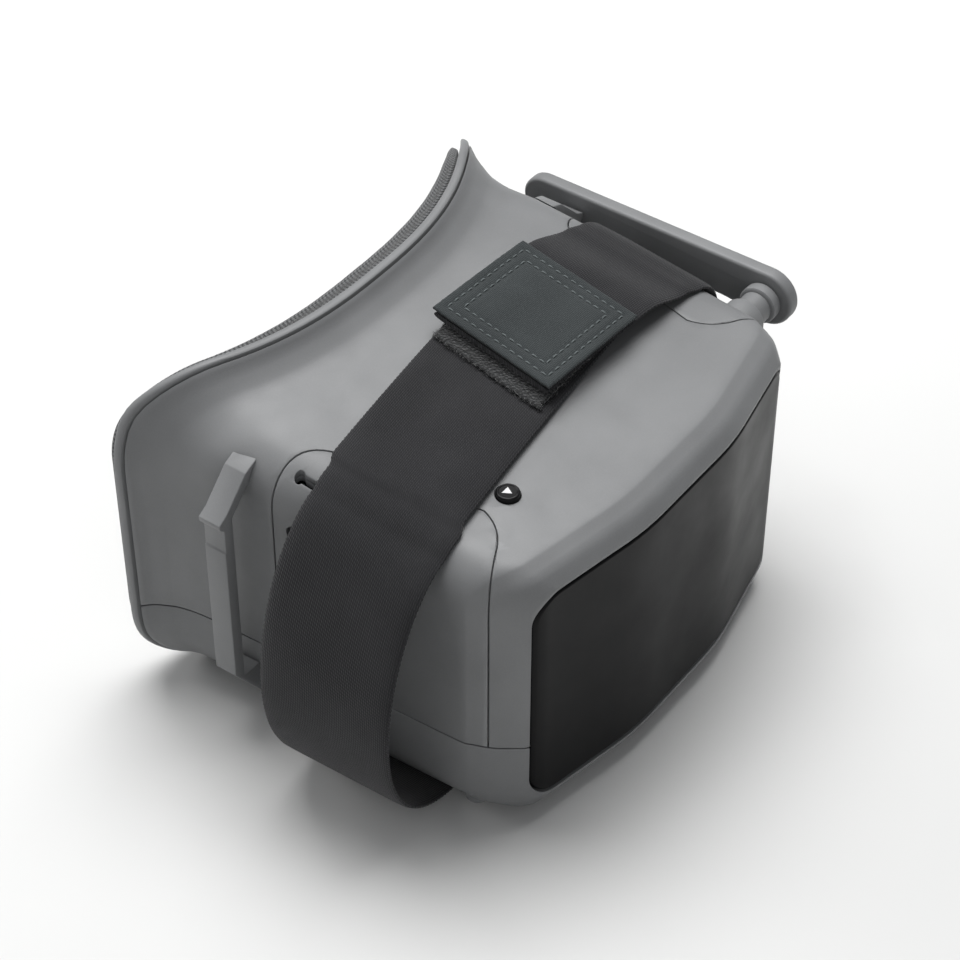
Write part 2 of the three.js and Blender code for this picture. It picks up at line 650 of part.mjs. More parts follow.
// A flat pad lying over the top surface, from one height above it to another. yAt gives its middle line.
function topPad(from, to, width, yAt, low, high) {
  const xs = Array.from({ length: 7 }, (_, i) => lerp(from, to, i / 6));
  return ribbon(
    [-0.5, 0.5].map((f) =>
      xs.map((x) => {
        const [px, py] = [x + PATCH.lean * f * width, yAt(x, f * width)];
        return [high, low].map((h) => new THREE.Vector3(px, py, topZ(px, py) + h));
      }),
    ),
  );
}
const loopY = (x, across) => PAD.loopY + PAD.loopSkew * (x - 12) + across;
const loopLow = underOffset + strapHalf + CLEAR;
const hookLow = loopLow + PAD.thick + CLEAR;
const patchLow = underOffset + stack + strapHalf + CLEAR;
const loopPad = topPad(PAD.loopFrom, PAD.to, STRAP.width - 3, loopY, loopLow, loopLow + PAD.thick);
const hookPad = topPad(PAD.hookFrom, PAD.to, STRAP.width - 3, highY, hookLow, hookLow + PAD.thick);
const patch = topPad(PATCH.from, PATCH.to, PATCH.width, highY, patchLow, patchLow + PATCH.thick);
place("strap_loop_pad", "foam", loopPad);
place("strap_hook_pad", "foam", hookPad);
place("strap_end_patch", "webbing", patch);

// ---- Screws ---------------------------------------------------------------------------------

for (const [name, x, y] of SCREWS) {
  const head = SCREW_HEAD_Z;
  place(
    "screw_" + name,
    "metal",
    rod("z", x, y, 2.4, head, head + 1.5, 18).add(rod("z", x, y, 1.1, head + 1, 29.5, 12)),
  );
}

goggles.position.y = -ORIGIN_Y;
const part = new THREE.Group();
part.add(goggles);
export default part;
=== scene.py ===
"""Looks of a pair of box-type FPV goggles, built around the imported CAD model.

Shapes are written in millimetres in the drawing frame of the part, with y = 0 at the front plate,
and to_row() turns them into metres in the row frame. +Z is up, -Y the front plate, +X the wearer's left.
"""

from math import ceil, copysign, cos, exp, hypot, pi, radians, sin

import bmesh
import bpy
import numpy as np
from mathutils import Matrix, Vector


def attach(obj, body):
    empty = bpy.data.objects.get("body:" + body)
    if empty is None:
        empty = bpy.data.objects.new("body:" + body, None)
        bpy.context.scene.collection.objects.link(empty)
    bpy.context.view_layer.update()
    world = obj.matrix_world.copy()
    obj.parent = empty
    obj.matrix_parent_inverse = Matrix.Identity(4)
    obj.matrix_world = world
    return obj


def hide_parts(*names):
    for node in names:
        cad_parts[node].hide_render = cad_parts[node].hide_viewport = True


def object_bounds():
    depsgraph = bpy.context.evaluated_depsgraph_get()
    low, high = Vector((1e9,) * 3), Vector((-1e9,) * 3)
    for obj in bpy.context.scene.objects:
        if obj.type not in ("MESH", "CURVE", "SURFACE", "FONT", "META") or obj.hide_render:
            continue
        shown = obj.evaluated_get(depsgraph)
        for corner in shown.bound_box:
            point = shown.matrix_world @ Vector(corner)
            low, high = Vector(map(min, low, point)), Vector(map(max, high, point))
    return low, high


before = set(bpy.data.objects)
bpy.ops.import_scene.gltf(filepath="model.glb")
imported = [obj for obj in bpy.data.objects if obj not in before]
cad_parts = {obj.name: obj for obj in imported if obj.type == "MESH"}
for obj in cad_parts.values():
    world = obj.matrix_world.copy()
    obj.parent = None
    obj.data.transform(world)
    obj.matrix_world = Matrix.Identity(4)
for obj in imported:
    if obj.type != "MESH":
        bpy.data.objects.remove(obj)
cad_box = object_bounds()

# ---- Driving dimensions ----

MM = 0.001
TURN = 2 * pi
ORIGIN_Y = 48.7  # the row frame's origin in the drawing frame

# The hood's outline at stations from the front plate (t = 0) to the face curve (t = 1):
# t, shift along Y, half width, top, bottom, corner radius.
HOOD = [
    (0, 0, 52, 73.4, 6.8, 7),
    (0, 2.5, 56.5, 76.8, 3.5, 9),
    (0, 6, 58.5, 78.6, 2.4, 10.4),
    (0.14, 0, 59.2, 79.4, 2.3, 10.5),
    (0.45, 0, 60.4, 82.2, 2.3, 10.5),
    (0.74, 0, 61.6, 84.8, 2.3, 12),
    (0.84, 0, 62.2, 85.8, 2.2, 15),
    (0.895, 0, 63.3, 87, 2, 17),
    (0.935, 0, 65.4, 89.2, 1.4, 19.5),
    (1, -2.95, 68.4, 92.4, 0.5, 22.5),
]
CROWN = 1
WALL = 2.6
PARTING_Z = 26
SEAM = 0.36
CLEAR = 0.3
PLATE = 2
OPTIC_Z = 40.5
LIP_TOP = 93.2
LIP_HALF = 69.3

PANEL = {"front": 14.5, "rear": 71.7, "front_in": 40.5, "rear_in": 46.5, "skin": 1.3}
BRACKET = {"front": 78.1, "rear": 84.2, "slot": 5.4}
# The bracket's outline: distance from the wall, and height.
BRACKET_LINE = [(-4, 81), (0, 79.3), (7.2, 72.1), (9.9, 70.6), (9.7, 69.2), (8.3, 67.9)]
BRACKET_LINE += [(8.3, 61.6), (8.6, 61.2), (8.6, 22), (0, 10), (-4, 10)]

# The strap crosses the body at a slight angle; its upper end runs at its own angle about x = 12.
STRAP = {"width": 35, "y": 50.9, "skew": 0.105, "thick": 1.4, "gap": 0.8, "under_end": 30}
LOOSE = {"out": 27, "fall": 8, "low": 34}
PATCH = {"thick": 1.0, "from": -5, "to": 28.5, "width": 35.5, "y": 51.3, "skew": -0.05, "lean": 0.12}
PAD = {"thick": 0.8, "to": 27, "loop_from": -8.5, "hook_from": -3, "loop_y": 51.6, "loop_skew": 0.03}

ANTENNA = {"y": 25, "z": 67.3, "in": 72, "out": 76, "disc": 7.5, "tip": 97, "low": 62.8, "high": 74.8}
BOSS = {"base": 5.4, "base_end": 63.5, "neck": 4.1, "collar": 5, "collar_start": 68.5}
PIN_R = 1.6

KEY_X = -33.5
KEYS = [("key_up", 26.8, 0.9), ("key_down", 41.5, 0.15), ("key_menu", 55.5, 0.15)]
KEY_R = 2.75
KEY_FOOT = 76.4
POWER = {"y": 24, "z": 46, "r": 4.3, "proud": 1}
SCREWS = [("front_right", -53.5, 20.5), ("front_left", 53.5, 20.5)]
SCREWS += [("rear_right", -54.5, 69.4), ("rear_left", 54.5, 69.4)]
SCREW_HEAD_Z = 16


# ---- Form of the body ----


def lerp(a, b, t):
    return a + (b - a) * t


def eased_ramp(x, half):
    """max(0, x) with its corner rounded over `half` either side."""
    return np.where(np.abs(x) < half, (x + half) ** 2 / (4 * half), np.maximum(x, 0))


def front_y(x):
    """Plan outline of the front: flat middle, gentle sweep back, tighter corner."""
    a = np.abs(x)
    sweep, corner = 6.5 / 32, 7.2 / 8
    y = sweep * eased_ramp(a - 18, 7)
    y = y + (corner - sweep) * eased_ramp(a - 50, 3)
    return y - corner * eased_ramp(a - 58, 1.5)


def face_y(x, z):
    """The face curve: concave across the forehead, flatter over the cheeks."""
    bow, most, ease = (np.abs(x) / 62) ** 2.5, 1.04**2.5, 0.1
    over = np.maximum(ease - np.abs(bow - most), 0) / ease
    bow = np.minimum(bow, most) - over * over * ease / 4
    height = np.clip(z / LIP_TOP, 0, 1)
    return lerp(97 + 13 * bow, 89.5 + 20 * bow, height)


def slopes(u, v):
    """Slopes of a curve through (u, v) that never overshoots its points."""
    step = np.diff(v, axis=0) / np.diff(u)[:, None]
    product, total = step[1:] * step[:-1], step[1:] + step[:-1]
    inner = np.where(product > 0, 2 * product / np.where(total == 0, 1, total), 0)
    return np.vstack([step[:1], inner, step[-1:]])


def refine(stations, spacing):
    """Stations placed more closely, on a smooth curve through the given ones."""
    v = np.array(stations, float)
    along = np.hypot(np.diff(v[:, 0] * 80 + v[:, 1]), np.diff(v[:, 2]))
    u = np.concatenate([[0], np.cumsum(along)])
    m = slopes(u, v)
    rows = []
    for i, length in enumerate(along):
        count = max(2, ceil(length / spacing))
        for k in range(count):
            f = k / count
            h = [2 * f**3 - 3 * f**2 + 1, f**3 - 2 * f**2 + f, -2 * f**3 + 3 * f**2, f**3 - f**2]
            rows.append(h[0] * v[i] + h[1] * length * m[i] + h[2] * v[i + 1] + h[3] * length * m[i + 1])
    return rows + [v[-1]]


def outline(w, top, bottom, r, arc_steps=10, flat_steps=30):
    """A rounded rectangle as columns: x, upper z and lower z."""
    a = np.linspace(0, pi / 2, arc_steps + 1)[1:]
    flat = np.linspace(-(w - r), w - r, flat_steps + 1)
    side, fall = (w - r) + r * np.sin(a), r * (1 - np.cos(a))
    x = np.concatenate([-side[::-1], flat, side])
    drop = np.concatenate([fall[::-1], 0 * flat, fall])
    return x, top - drop - CROWN * (x / w) ** 2, bottom + drop


def ring(station, **steps):
    """The closed outline of one station, as points."""
    t, dy, w, top, bottom, r = station
    x, up, down = outline(w, top, bottom, r, **steps)
    x = np.concatenate([x, x[::-1]])
    z = np.concatenate([up, down[::-1]])
    return np.column_stack([x, lerp(front_y(x), face_y(x, z), t) + dy, z])


def size_at(y):
    """The hood's half width, top, bottom and corner radius at a plain distance behind the front."""
    rows = [s for s in HOOD if s[1] == 0 and s[0] > 0]
    t = (y - 13.7) / (float(face_y(62, OPTIC_Z)) - 13.7)
    return [float(np.interp(t, [s[0] for s in rows], [s[k] for s in rows])) for k in (2, 3, 4, 5)]


def top_z(x, y):
    """Height of the top surface at a point of the plan."""
    start = float(front_y(x))
    t = (y - start) / (float(face_y(x, LIP_TOP)) - start)
    w, top, _, _ = size_at(lerp(13.7, float(face_y(62, OPTIC_Z)), t))
    return top - CROWN * (x / w) ** 2


# ---- Mesh tools ----


def to_row(points):
    return (np.asarray(points, float) - (0, ORIGIN_Y, 0)) * MM


def add(name, data):
    """A new object in the scene."""
    made = bpy.data.objects.new(name, data)
    bpy.context.scene.collection.objects.link(made)
    return made


def edit(data, *changes):
    """Runs changes on a mesh, then makes all its faces look outwards."""
    work = bmesh.new()
    work.from_mesh(data)
    for change in changes:
        change(work)
    bmesh.ops.recalc_face_normals(work, faces=work.faces)
    work.to_mesh(data)
    work.free()


def make(name, points, faces, uv=None):
    """A new object from points in drawing millimetres. uv gives a pair for each point."""
    data = bpy.data.meshes.new(name)
    data.from_pydata(to_row(points).tolist(), [], faces)
    if uv is not None:
        layer = data.uv_layers.new(name="UVMap")
        uv = np.asarray(uv, float) * MM
        for loop in data.loops:
            layer.data[loop.index].uv = uv[loop.vertex_index]
    edit(data)
    return add(name, data)


def skin(name, rings, closed=False, uv=None):
    """A surface through rings of equal length. Open rows of rings are closed by flat ends."""
    n, count = len(rings[0]), len(rings)
    faces = []
    for s in range(count if closed else count - 1):
        low, high = s * n, (s + 1) % count * n
        for i in range(n):
            j = (i + 1) % n
            faces.append((low + i, low + j, high + j, high + i))
    if not closed:
        last = (count - 1) * n
        for i in range(n // 2 - 1):
            a, b, c, d = i, n - 1 - i, n - 2 - i, i + 1
            faces += [(a, b, c, d), (last + d, last + c, last + b, last + a)]
    return make(name, np.vstack(rings), faces, uv)


def loft(name, stations, spacing=1.6, **steps):
    return skin(name, [ring(s, **steps) for s in refine(stations, spacing)])


def grown_hood(name, inset=0.0, front=0.0, rear=0.0, spacing=1.6):
    """The hood's whole form moved inwards; its front and rear ends lie further back."""
    stations = []
    for k, (t, dy, w, top, bottom, r) in enumerate(HOOD):
        shift = (front if t == 0 else 0) + (rear if k == len(HOOD) - 1 else 0)
        stations.append((t, dy + shift, w - inset, top - inset, bottom + inset, r - inset))
    return loft(name, stations, spacing)


PLANES = {"x": (1, 2, 0), "y": (0, 2, 1), "z": (0, 1, 2)}


def prism(name, shape, axis, start, end):
    """A flat outline pushed along an axis: along x it is drawn in (y, z), along y in (x, z)."""
    flat = np.asarray(shape, float)
    n = len(flat)
    a, b, c = PLANES[axis]
    points = np.zeros((2 * n, 3))
    points[:, a] = np.tile(flat[:, 0], 2)
    points[:, b] = np.tile(flat[:, 1], 2)
    points[:n, c], points[n:, c] = start, end
    sides = [(i, (i + 1) % n, n + (i + 1) % n, n + i) for i in range(n)]
    return make(name, points, sides + [tuple(range(n)), tuple(range(2 * n - 1, n - 1, -1))])


def arc(x, y, r, start, end, steps=12):
    return [
        (x + r * cos(a), y + r * sin(a)) for a in np.radians(np.linspace(start, end, steps + 1))
    ]


def circle(x, y, r, steps=48):
    return arc(x, y, r, 0, 360 - 360 / steps, steps - 1)


def rectangle(x0, y0, x1, y1):
    return [(x0, y0), (x1, y0), (x1, y1), (x0, y1)]


def rounded(x0, y0, x1, y1, r, steps=8):
    return (
        arc(x1 - r, y0 + r, r, -90, 0, steps)
        + arc(x1 - r, y1 - r, r, 0, 90, steps)
        + arc(x0 + r, y1 - r, r, 90, 180, steps)
        + arc(x0 + r, y0 + r, r, 180, 270, steps)
    )


def bezier(points, steps):
    """Points along a quadratic or cubic curve."""
    p = np.array(points, float)
    t = np.linspace(0, 1, steps + 1)[:, None]
    while len(p) > 1:
        p = [lerp(a, b, t) for a, b in zip(p[:-1], p[1:])]
    return p[0]


def turned(name, profile, axis, a, b, steps=48):
    """A solid of revolution: profile is (radius, place along the axis), from axis to axis."""
    i, j, k = PLANES[axis]
    radius, along = np.array(profile, float).T
    n, rings = len(profile), []
    for angle in np.linspace(0, TURN, steps, endpoint=False):
        points = np.zeros((n, 3))
        points[:, i], points[:, j] = a + radius * cos(angle), b + radius * sin(angle)
        points[:, k] = along
        rings.append(points)
    faces = [
        (s * n + q, s * n + q + 1, (s + 1) % steps * n + q + 1, (s + 1) % steps * n + q)
        for s in range(steps)
        for q in range(n - 1)
    ]
    made = make(name, np.vstack(rings), faces)
    weld(made)
    return made


def weld(obj, distance=0.002):
    edit(obj.data, lambda work: bmesh.ops.remove_doubles(work, verts=work.verts, dist=distance * MM))


def copy(obj, name):
    return add(name, obj.data.copy())


def mirrored(obj, name):
    """The piece's mirror image on the other side of the centre plane."""
    made = copy(obj, name)
    work = bmesh.new()
    work.from_mesh(made.data)
    for v in work.verts:
        v.co.x = -v.co.x
    bmesh.ops.reverse_faces(work, faces=work.faces)
    work.to_mesh(made.data)
    work.free()
    return made


def bake(obj):
    """Turns the object's modifiers into its mesh."""
    bpy.context.view_layer.update()
    graph = bpy.context.evaluated_depsgraph_get()
    data = bpy.data.meshes.new_from_object(obj.evaluated_get(graph))
    obj.modifiers.clear()
    obj.data = data


def combine(obj, others, operation):
    """Joins, cuts or trims a piece by others, which stay."""
    for other in others:
        step = obj.modifiers.new("boolean", "BOOLEAN")
        step.operation, step.solver, step.object = operation, "MANIFOLD", other
    bake(obj)
    return obj


def drop(*objects):
    for obj in objects:
        bpy.data.objects.remove(obj)


def cut(obj, *others):
    return combine(obj, others, "DIFFERENCE")


def cut_away(obj, *others):
    """Cuts a piece by others that aren't needed afterwards."""
    cut(obj, *others)
    drop(*others)


def rounding(obj, width, segments, angle, clamp=False):
    step = obj.modifiers.new("rounding", "BEVEL")
    step.width, step.segments, step.use_clamp_overlap = width * MM, segments, clamp
    step.limit_method, step.angle_limit = "ANGLE", radians(angle)


def soften(obj, width, segments, angle, clamp=False):
    """Rounds the edges of a piece."""
    rounding(obj, width, segments, angle, clamp)
    bake(obj)


def paint(obj, material, sharp):
    """Shades a piece smoothly up to an angle in degrees, with one material."""
    obj.data.shade_smooth()
    obj.data.set_sharp_from_angle(angle=radians(sharp))
    obj.data.materials.clear()
    obj.data.materials.append(material)


def dress(obj, material, sharp=35, replaces=(), body="hood"):
    """Gives a piece its finish and lets it ride on its body.
    """
    paint(obj, material, sharp)
    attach(obj, body)
    if replaces:
        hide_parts(*replaces)
    return obj


# ---- Materials ----


def srgb(r, g=None, b=None):
    """Linear colour from 0-255 display values."""
    values = [r, r if g is None else g, r if b is None else b]
    return [((v / 255 + 0.055) / 1.055) ** 2.4 if v > 10 else v / 255 / 12.92 for v in values] + [1]


def shade(tone, change=0):
    """A tone made lighter or darker by some display steps."""
    return srgb(*[max(0, v + change) for v in tone])


class Finish:
    """A node material around one Principled shader."""

    def __init__(self, name, **sockets):
        self.material = bpy.data.materials.new(name)
        self.material.use_nodes = True
        self.tree = self.material.node_tree
        self.shader = self.tree.nodes["Principled BSDF"]
        for key, value in sockets.items():
            self.shader.inputs[key.replace("_", " ")].default_value = value

    def node(self, kind, settings=None, **inputs):
        made = self.tree.nodes.new("ShaderNode" + kind)
        for key, value in (settings or {}).items():
            setattr(made, key, value)
        for key, value in inputs.items():
            self.feed(made.inputs[int(key[1:]) if key[0] == "_" else key.replace("_", " ")], value)
        return made

    def feed(self, socket, value):
        if isinstance(value, bpy.types.NodeSocket):
            self.tree.links.new(value, socket)
        else:
            socket.default_value = value

    def place(self, kind="Object"):
        return self.node("TexCoord").outputs[kind]

    def noise(self, scale, detail=3.0, vector=None):
        made = self.node("TexNoise", Scale=scale, Detail=detail, Vector=vector or self.place())
        return made.outputs["Fac"]

    def parts(self, kind="Object"):
        """The place on the surface as x, y and z."""
        return self.node("SeparateXYZ", Vector=self.place(kind)).outputs

    def math(self, operation, a, b=0.0):
        return self.node("Math", {"operation": operation}, _0=a, _1=b).outputs[0]

    def plus(self, a, b):
        return self.math("ADD", a, b)

    def times(self, a, b):
        return self.math("MULTIPLY", a, b)

    def wave(self, value, pitch):
        """A sine of a length on the surface, with its pitch in millimetres."""
        return self.math("SINE", self.times(value, TURN / (pitch * MM)))

    def spread(self, value, low, high, to_low=0.0, to_high=1.0):
        made = self.node("MapRange", Value=value)
        for key, number in zip(("From Min", "From Max", "To Min", "To Max"), (low, high, to_low, to_high)):
            made.inputs[key].default_value = number
        return made.outputs[0]

    def haze(self, scale, detail, low=0.3, high=0.7, to_low=0.0, to_high=1.0):
        """Cloudy variation between two values."""
        return self.spread(self.noise(scale, detail), low, high, to_low, to_high)

    def mix(self, factor, a, b):
        made = self.node("Mix", {"data_type": "RGBA"}, Factor=factor)
        self.feed(made.inputs[6], a)
        self.feed(made.inputs[7], b)
        return made.outputs[2]

    def set(self, key, value):
        self.feed(self.shader.inputs[key], value)

    def bump(self, height, distance, strength=1.0):
        """Adds relief on top of what the shader has already."""
        made = self.node("Bump", Height=height, Strength=strength, Distance=distance * MM)
        before = self.shader.inputs["Normal"]
        if before.is_linked:
            self.tree.links.new(before.links[0].from_socket, made.inputs["Normal"])
        self.tree.links.new(made.outputs["Normal"], before)


def moulded(name, tone, rough, grain=0.02, pitch=2600, wear=18, coat=0.0):
    """Moulded plastic with a fine etched grain, faint tone variation and lighter worn edges."""
    f = Finish(name, Specular_IOR_Level=0.42, Coat_Weight=coat, Coat_Roughness=0.18)
    fine = f.noise(pitch, 2)
    base = f.mix(f.haze(38, 4, 0.35, 0.65), shade(tone, -4), shade(tone, 4))
    base = f.mix(f.spread(fine, 0.3, 0.7, 0, 0.18), base, shade(tone, 14))
    edge = f.spread(f.node("NewGeometry").outputs["Pointiness"], 0.53, 0.6, 0, 0.5)
    f.set("Base Color", f.mix(edge, base, shade(tone, wear)))
    f.set("Roughness", f.haze(120, 5, to_low=rough - 0.05, to_high=rough + 0.06))
    f.bump(fine, grain, 0.7)
    f.bump(f.noise(260, 2), grain * 1.5, 0.25)
    return f.material


def woven(name, low, high, pitch, relief, fuzz=0.5):
    """Webbing: crossing yarns on the strap's own length and width."""
    f = Finish(name, Roughness=0.92, Specular_IOR_Level=0.25, Sheen_Weight=fuzz, Sheen_Roughness=0.45)
    along, across, _ = f.parts("UV")
    turn = TURN / (pitch * MM)
    weft = f.math("SINE", f.plus(f.times(along, turn), f.times(across, turn * 1.9)))
    yarn = f.times(f.plus(f.wave(across, pitch / 1.6), 1.2), f.plus(weft, 1.3))
    height = f.plus(f.spread(yarn, 0, 5), f.times(f.noise(2400, 4), 0.45))
    base = f.mix(f.spread(height, 0.1, 1.3), shade(low), shade(high))
    f.set("Base Color", f.mix(f.haze(55, 3, 0.35, 0.7, 0, 0.3), base, shade(high, 9)))
    f.bump(height, relief)
    return f.material


def fleece(name, low, high, scale=1500, relief=0.3):
    """Loop pile or hook tape: small tangled loops."""
    f = Finish(name, Roughness=0.96, Specular_IOR_Level=0.2, Sheen_Weight=0.6, Sheen_Roughness=0.5)
    loops = f.node("TexVoronoi", Scale=scale, Vector=f.place()).outputs["Distance"]
    tangle = f.plus(f.times(loops, 0.9), f.noise(scale * 1.4, 5))
    base = f.mix(f.spread(tangle, 0.5, 1.2), shade(high), shade(low))
    f.set("Base Color", f.mix(f.haze(90, 4, 0.4, 0.7, 0, 0.35), base, shade(high, 10)))
    f.bump(tangle, relief, 0.9)
    return f.material


def knitted(name, low, high):
    """The cushion's cover: ribs across its run, over a soft open knit."""
    f = Finish(name, Roughness=0.95, Specular_IOR_Level=0.2, Sheen_Weight=0.35, Sheen_Roughness=0.5)
    along, across, _ = f.parts("UV")
    height = f.plus(f.times(f.wave(along, 1.15), 0.6), f.times(f.wave(across, 0.8), 0.25))
    height = f.plus(height, f.noise(2600, 4))
    f.set("Base Color", f.mix(f.spread(height, 0, 1.2), shade(low), shade(high)))
    f.bump(height, 0.16)
    return f.material


def rubbery(name, tone, rough):
    f = Finish(name, Specular_IOR_Level=0.3, Sheen_Weight=0.12)
    f.set("Base Color", f.mix(f.haze(60, 4, 0.35, 0.65), shade(tone, -4), shade(tone, 5)))
    f.set("Roughness", f.haze(200, 3, to_low=rough - 0.06, to_high=rough + 0.06))
    f.bump(f.noise(1900, 2), 0.02, 0.6)
    return f.material


def glossy(name, tone, rough, coat=0.03):
    """Polished black plastic: faint haze, dust and an uneven skin."""
    f = Finish(name, Specular_IOR_Level=0.1, Coat_Weight=coat, Coat_Roughness=0.2)
    base = f.mix(f.haze(30, 4, 0.35, 0.65), shade(tone), shade(tone, 4))
    f.set("Base Color", f.mix(f.haze(1500, 6, 0.64, 0.8, 0, 0.12), base, shade(tone, 16)))
    f.set("Roughness", f.haze(70, 5, to_low=rough - 0.04, to_high=rough + 0.07))
    f.bump(f.noise(170, 2), 0.012, 0.35)
    return f.material


def brushed(name, tone, rough):
    f = Finish(name, Metallic=1.0)
    stretched = f.node("Mapping", Vector=f.place(), Scale=(60, 2200, 2200)).outputs[0]
    lines = f.noise(1, 3, stretched)
    f.set("Base Color", f.mix(f.spread(lines, 0.3, 0.7), shade(tone, -16), shade(tone)))
    f.set("Roughness", f.spread(lines, 0.3, 0.7, rough - 0.07, rough + 0.08))
    f.bump(lines, 0.008, 0.5)
    return f.material


def circuit(name):
    """Solder mask with traces, pads and flat parts."""
    f = Finish(name, Roughness=0.38, Coat_Weight=0.25, Coat_Roughness=0.2)
    cells = f.node("TexVoronoi", {"distance": "CHEBYCHEV"}, Scale=420, Vector=f.place())
    traces = f.node("TexWave", {"bands_direction": "DIAGONAL"}, Scale=260, Distortion=3, Vector=f.place())
    lines = f.spread(traces.outputs["Fac"], 0.82, 0.9)
    chips = f.spread(cells.outputs["Distance"], 0.22, 0.26, 1, 0)
    base = f.mix(lines, srgb(14, 52, 34), srgb(28, 84, 56))
    f.set("Base Color", f.mix(chips, base, srgb(26, 27, 29)))
    f.bump(f.plus(chips, f.times(lines, 0.2)), 0.15)
    return f.material


def wrapped(name):
    """Shrink wrap round the cells."""
    f = Finish(name, Roughness=0.42, Coat_Weight=0.2, Coat_Roughness=0.25)
    f.set("Base Color", f.mix(f.haze(50, 3), srgb(38, 56, 96), srgb(52, 72, 116)))
    f.bump(f.noise(90, 4), 0.2, 0.5)
    return f.material


def grooved_lens(name):
    """A Fresnel lens: clear plastic with fine rings round the optical axis."""
    f = Finish(name, Transmission_Weight=1.0, IOR=1.49, Roughness=0.03)
    f.set("Base Color", f.mix(f.noise(40, 2), srgb(238, 244, 246), srgb(248, 252, 252)))
    x, _, z = f.parts()
    high = f.math("SUBTRACT", z, OPTIC_Z * MM)
    radius = f.math("SQRT", f.plus(f.math("POWER", x, 2), f.math("POWER", high, 2)))
    f.bump(f.math("FRACT", f.math("DIVIDE", radius, 0.55 * MM)), 0.1, 0.5)
    return f.material


def screen_glass(name):
    """The dark screen: a faintly lighter picture area inside its border."""
    f = Finish(name, Roughness=0.12, Coat_Weight=0.8, Coat_Roughness=0.04)
    x, _, z = f.parts()
    high = f.math("ABSOLUTE", f.math("SUBTRACT", z, OPTIC_Z * MM))
    inside = f.spread(f.math("ABSOLUTE", x), 0.0472, 0.0476, 1, 0)
    inside = f.times(inside, f.spread(high, 0.0266, 0.027, 1, 0))
    base = f.mix(inside, srgb(8), srgb(22, 25, 31))
    f.set("Base Color", f.mix(f.haze(900, 5, 0.6, 0.8, 0, 0.1), base, srgb(90)))
    return f.material


def printed(name, tone):
    """Printed ink, slightly uneven."""
    f = Finish(name, Roughness=0.5)
    f.set("Base Color", f.mix(f.haze(900, 3), srgb(tone - 18), srgb(tone)))
    return f.material


SHELL = moulded("shell_plastic", (117, 118, 119), 0.5)
PLATE_BLACK = glossy("plate_black", (9, 9, 10), 0.36)
KEY_BLACK = glossy("key_black", (18, 18, 19), 0.36, 0.25)
INNER_BLACK = moulded("inner_black", (26, 26, 27), 0.66, 0.03, wear=8)
WEBBING = woven("webbing", (24, 24, 26), (48, 48, 50), 0.8, 0.12, 0.16)
PATCH_FABRIC = woven("patch_fabric", (38, 42, 43), (58, 63, 64), 0.7, 0.1, 0.2)
LOOP_PILE = fleece("hook_and_loop", (8, 8, 9), (38, 40, 41), 1300, 0.35)
THREAD = rubbery("sewing_thread", (88, 94, 95), 0.75)
KNIT = knitted("cushion_knit", (50, 51, 52), (104, 105, 106))
RUBBER = rubbery("nose_rubber", (30, 30, 31), 0.62)
LENS = grooved_lens("lens_clear")
SCREEN = screen_glass("screen_glass")
BOARD = circuit("circuit_board")
WRAP = wrapped("battery_wrap")
STEEL = brushed("steel", (172, 174, 178), 0.34)
TIN = brushed("tin_plate", (150, 152, 155), 0.42)
INK = printed("white_ink", 225)

# ---- Shells, side panels and front plate ----


def panel_plan(shrink):
    """Plan of the wearer's right side panel: over the shoulder and down the wall."""
    front, rear = PANEL["front"] + shrink, PANEL["rear"] - shrink
    front_in, rear_in = -PANEL["front_in"] - shrink, -PANEL["rear_in"] - shrink
    points = [(-90, front), (-58, front)]
    corner = [(-47.5, front + 5), (front_in - 1.5, PANEL["front"] + 8), (front_in, PANEL["front"] + 13.5)]
    points += list(bezier(corner, 10))
    points.append((front_in - 1, PANEL["front"] + 19))
    points += list(bezier([(rear_in, PANEL["rear"] - 12), (rear_in - 0.8, rear), (-60, rear)], 12))
    return points + [(-90, rear)]


def slab(name, z0, z1):
    return prism(name, rectangle(-90, -10, 90, 130), "z", z0, z1)


def plate_form(name, grow, rows):
    """The front plate's outline through (shift along Y, inset) rows."""
    _, _, w, top, bottom, r = HOOD[0]
    edge = 1.2 - grow
    rings = [
        ring((0, dy, w - edge - inset, top - edge - inset, bottom + edge + inset, r + grow - inset))
        for dy, inset in rows
    ]
    return skin(name, rings)


def nose_cut():
    arch = [(-21, -6)] + arc(0, 10, 14.5, 180, 0, 36) + [(21, -6)]
    return prism("nose_cut", arch, "y", 78, 130)


def side_openings():
    """The memory card slot with its dot, the video jack and the USB port, on the wearer's right."""
    return [
        prism("card_slot", rounded(-57, 50.5, -55.4, 66.8, 0.6, 4), "z", 70, 100),
        prism("card_dot", circle(-56.2, 66.8, 1.25, 28), "z", 70, 100),
        prism("jack_hole", circle(65.5, 67, 2.3, 40), "x", -80, -50),
        prism("usb_hole", rounded(64.6, 39, 68.2, 49.2, 1.75, 8), "x", -80, -50),
    ]


def left_openings():
    return [
        prism("power_hole", circle(POWER["y"], POWER["z"], POWER["r"] + 0.3, 56), "x", 40, 80),
        prism("pin_hole", circle(ANTENNA["y"], ANTENNA["z"], PIN_R + 0.3, 32), "x", 40, 66),
    ]


def screw_bosses():
    made = []
    for name, x, y in SCREWS:
        wall = copysign(size_at(y)[0] - WALL / 2, x)
        x0, x1 = min(x, wall), max(x, wall)
        made.append(prism("boss_" + name, circle(x, y, 2.9, 32), "z", 4, 32))
        made.append(prism("rib_" + name, rectangle(x0, y - 1.6, x1, y + 1.6), "z", 8, 31.9))
    return made


